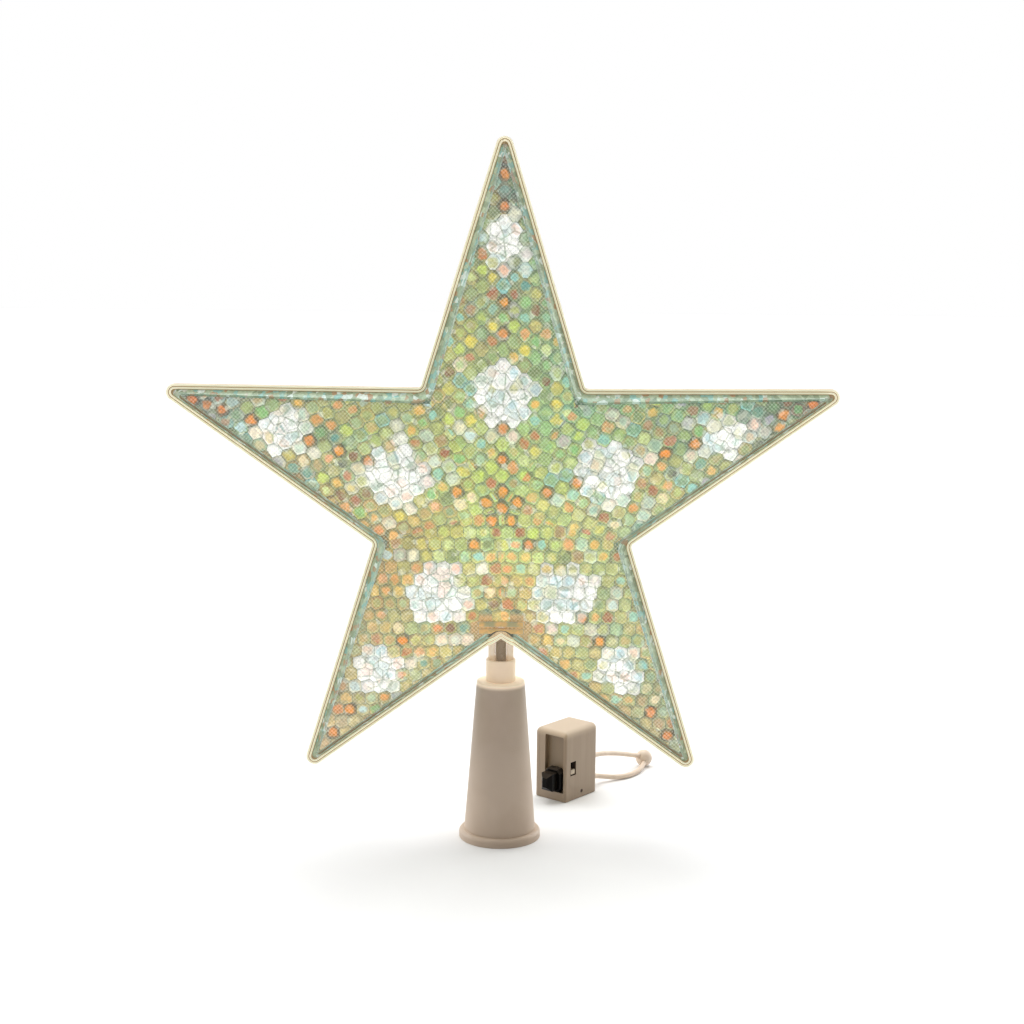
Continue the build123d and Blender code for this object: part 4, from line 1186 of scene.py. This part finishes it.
# %% [markdown]
# ## Lamps, holders and wiring
# Ten clear lamps sit in push-in holders on the back, joined by thin insulated wire. The lamps glow warm white
# inside the star; the white round them on the film is painted light. Holders and wire are plain pale plastic,
# a little shinier on the wire.

# %% Lamps, holders and wire
LAMP_NUMBERS = range(1, 11)
lamp_lens = glowing("lamp_lens", (255, 244, 214), (255, 236, 190), grain=(2.0, 2.0), rough=0.1, glow=2.0)
dress(lamp_lens, *[f"led_lamp_{number}" for number in LAMP_NUMBERS])
dress_plastic(
    [*[f"lamp_holder_{number}" for number in LAMP_NUMBERS], "star_lead_gland"],
    "holder_plastic", (222, 212, 190), (212, 201, 178), rough=0.45, texture=0.04, lump=5.0,
)
dress_plastic(
    ["light_wires"], "wire_cover", (226, 218, 198), (216, 206, 184), rough=0.3, texture=0.02, lump=8.0,
)

# %% [markdown]
# ## Neck, collar and pin
# The neck is a thick clear tube with a dark pin in it, in a frosted collar. A band down each side of the tube
# is made more solid and cream, a painted sheen, and tube and collar send out a faint painted glow of the
# star's light. Clear plastic is set by its alpha, so the pin shows through it.

# %% Neck, collar and pin
SHEEN_BAND = (2.6, 4.2)


def clear_plastic(name, tone, shade, solid, glow, rough, edge_sheen=0.0):
    """Plastic that hides a share of what is behind it, more at its edges, and down its sides with a painted
    sheen.
    """
    finish = new_finish(name)
    # Painted sheen: a band down each side of the piece is made more solid.
    if edge_sheen:
        solid = solid + edge_sheen * abs(finish.along("X")).between(*SHEEN_BAND)
    slow = finish.grain(5.0, 3.0)
    colour = finish.mix(slow, srgb(*tone), srgb(*shade))
    edge = finish.node("ShaderNodeLayerWeight", None, {"Blend": 0.4}, "Facing")
    return finish.surface({
        "Base Color": colour,
        "Roughness": rough + 0.1 * slow,
        "Alpha": solid + (1 - solid) * 0.8 * edge ** 2,
        "Specular IOR Level": 0.15,
        # Painted glow: neck and collar send out their own colour, the star's light in them.
        "Emission Color": colour,
        "Emission Strength": glow,
    })


dress(
    clear_plastic(
        "neck_clear", (226, 198, 164), (236, 212, 182), solid=0.2, glow=0.16, rough=0.1, edge_sheen=0.35,
    ),
    "neck_tube",
)
dress(
    clear_plastic("collar_frosted", (228, 209, 185), (238, 220, 196), solid=0.72, glow=0.28, rough=0.35),
    "neck_collar",
)
dress_plastic(["centre_pin"], "pin_dark", (48, 41, 35), (32, 28, 24), rough=0.3, texture=0.03, lump=4.0)

# %% [markdown]
# ## Controls and inner pieces of the box
# The power slider is glossy black with cut corners, and its upward faces are paler, a painted highlight. The
# mode slider is pale, and the indicator is a dark tinted dot. The inner pieces show only when the door is
# off, and each gets its own finish.


# %% Box controls and inside
def metal(name, tone, shade, rough):
    finish = new_finish(name)
    brushed = finish.grain(0.5, 4.0)
    return finish.surface({
        "Base Color": finish.mix(brushed, srgb(*tone), srgb(*shade)),
        "Metallic": 1.0,
        "Roughness": rough + 0.2 * (brushed - 0.5),
        "Normal": finish.bump(brushed, 0.01),
    })


def knob_finish():
    finish = new_finish("knob_black")
    fine = finish.grain(FINE_LUMP, 4.0)
    # Painted highlight: faces that point up are paler.
    upper = finish.facing("Z").between(0.2, 0.8)
    black = finish.mix(fine, srgb(11, 10, 9), srgb(16, 14, 12))
    return finish.surface({
        "Base Color": finish.mix(upper, black, srgb(54, 47, 40)),
        "Roughness": 0.08 + 0.1 * fine,
        "Specular IOR Level": 0.06,
    })


dress(knob_finish(), "power_knob")
dress_plastic(
    ["mode_knob"], "mode_pale", (196, 180, 156), (186, 170, 146), rough=0.45, texture=0.03, lump=3.0,
)
dress_plastic(
    ["indicator_lamp"], "indicator_tint", (72, 40, 24), (58, 32, 20), rough=0.15, texture=0.01, lump=2.0,
)
dress_plastic(
    ["power_switch_body", "mode_switch_body", "cell_tray"],
    "switch_dark", (46, 34, 26), (34, 26, 22), rough=0.5, texture=0.03, lump=3.0, gloss=0.2,
)
dress_plastic(
    ["control_board"], "board_green", (44, 104, 62), (36, 90, 54), rough=0.4, texture=0.03, lump=3.0,
)
dress(
    metal("contact_metal", (214, 208, 190), (190, 184, 166), rough=0.3),
    "power_bridge", "cell_leaf", "cell_plate",
)
dress(metal("cell_metal", (206, 206, 206), (180, 180, 182), rough=0.28), "coin_cell_1", "coin_cell_2")
dress(metal("screw_metal", (196, 196, 196), (170, 170, 172), rough=0.3), "door_screw")
dress_plastic(
    ["box_lead_gland"], "gland_rubber", (196, 178, 154), (184, 166, 142), rough=0.6, texture=0.04, lump=4.0,
)
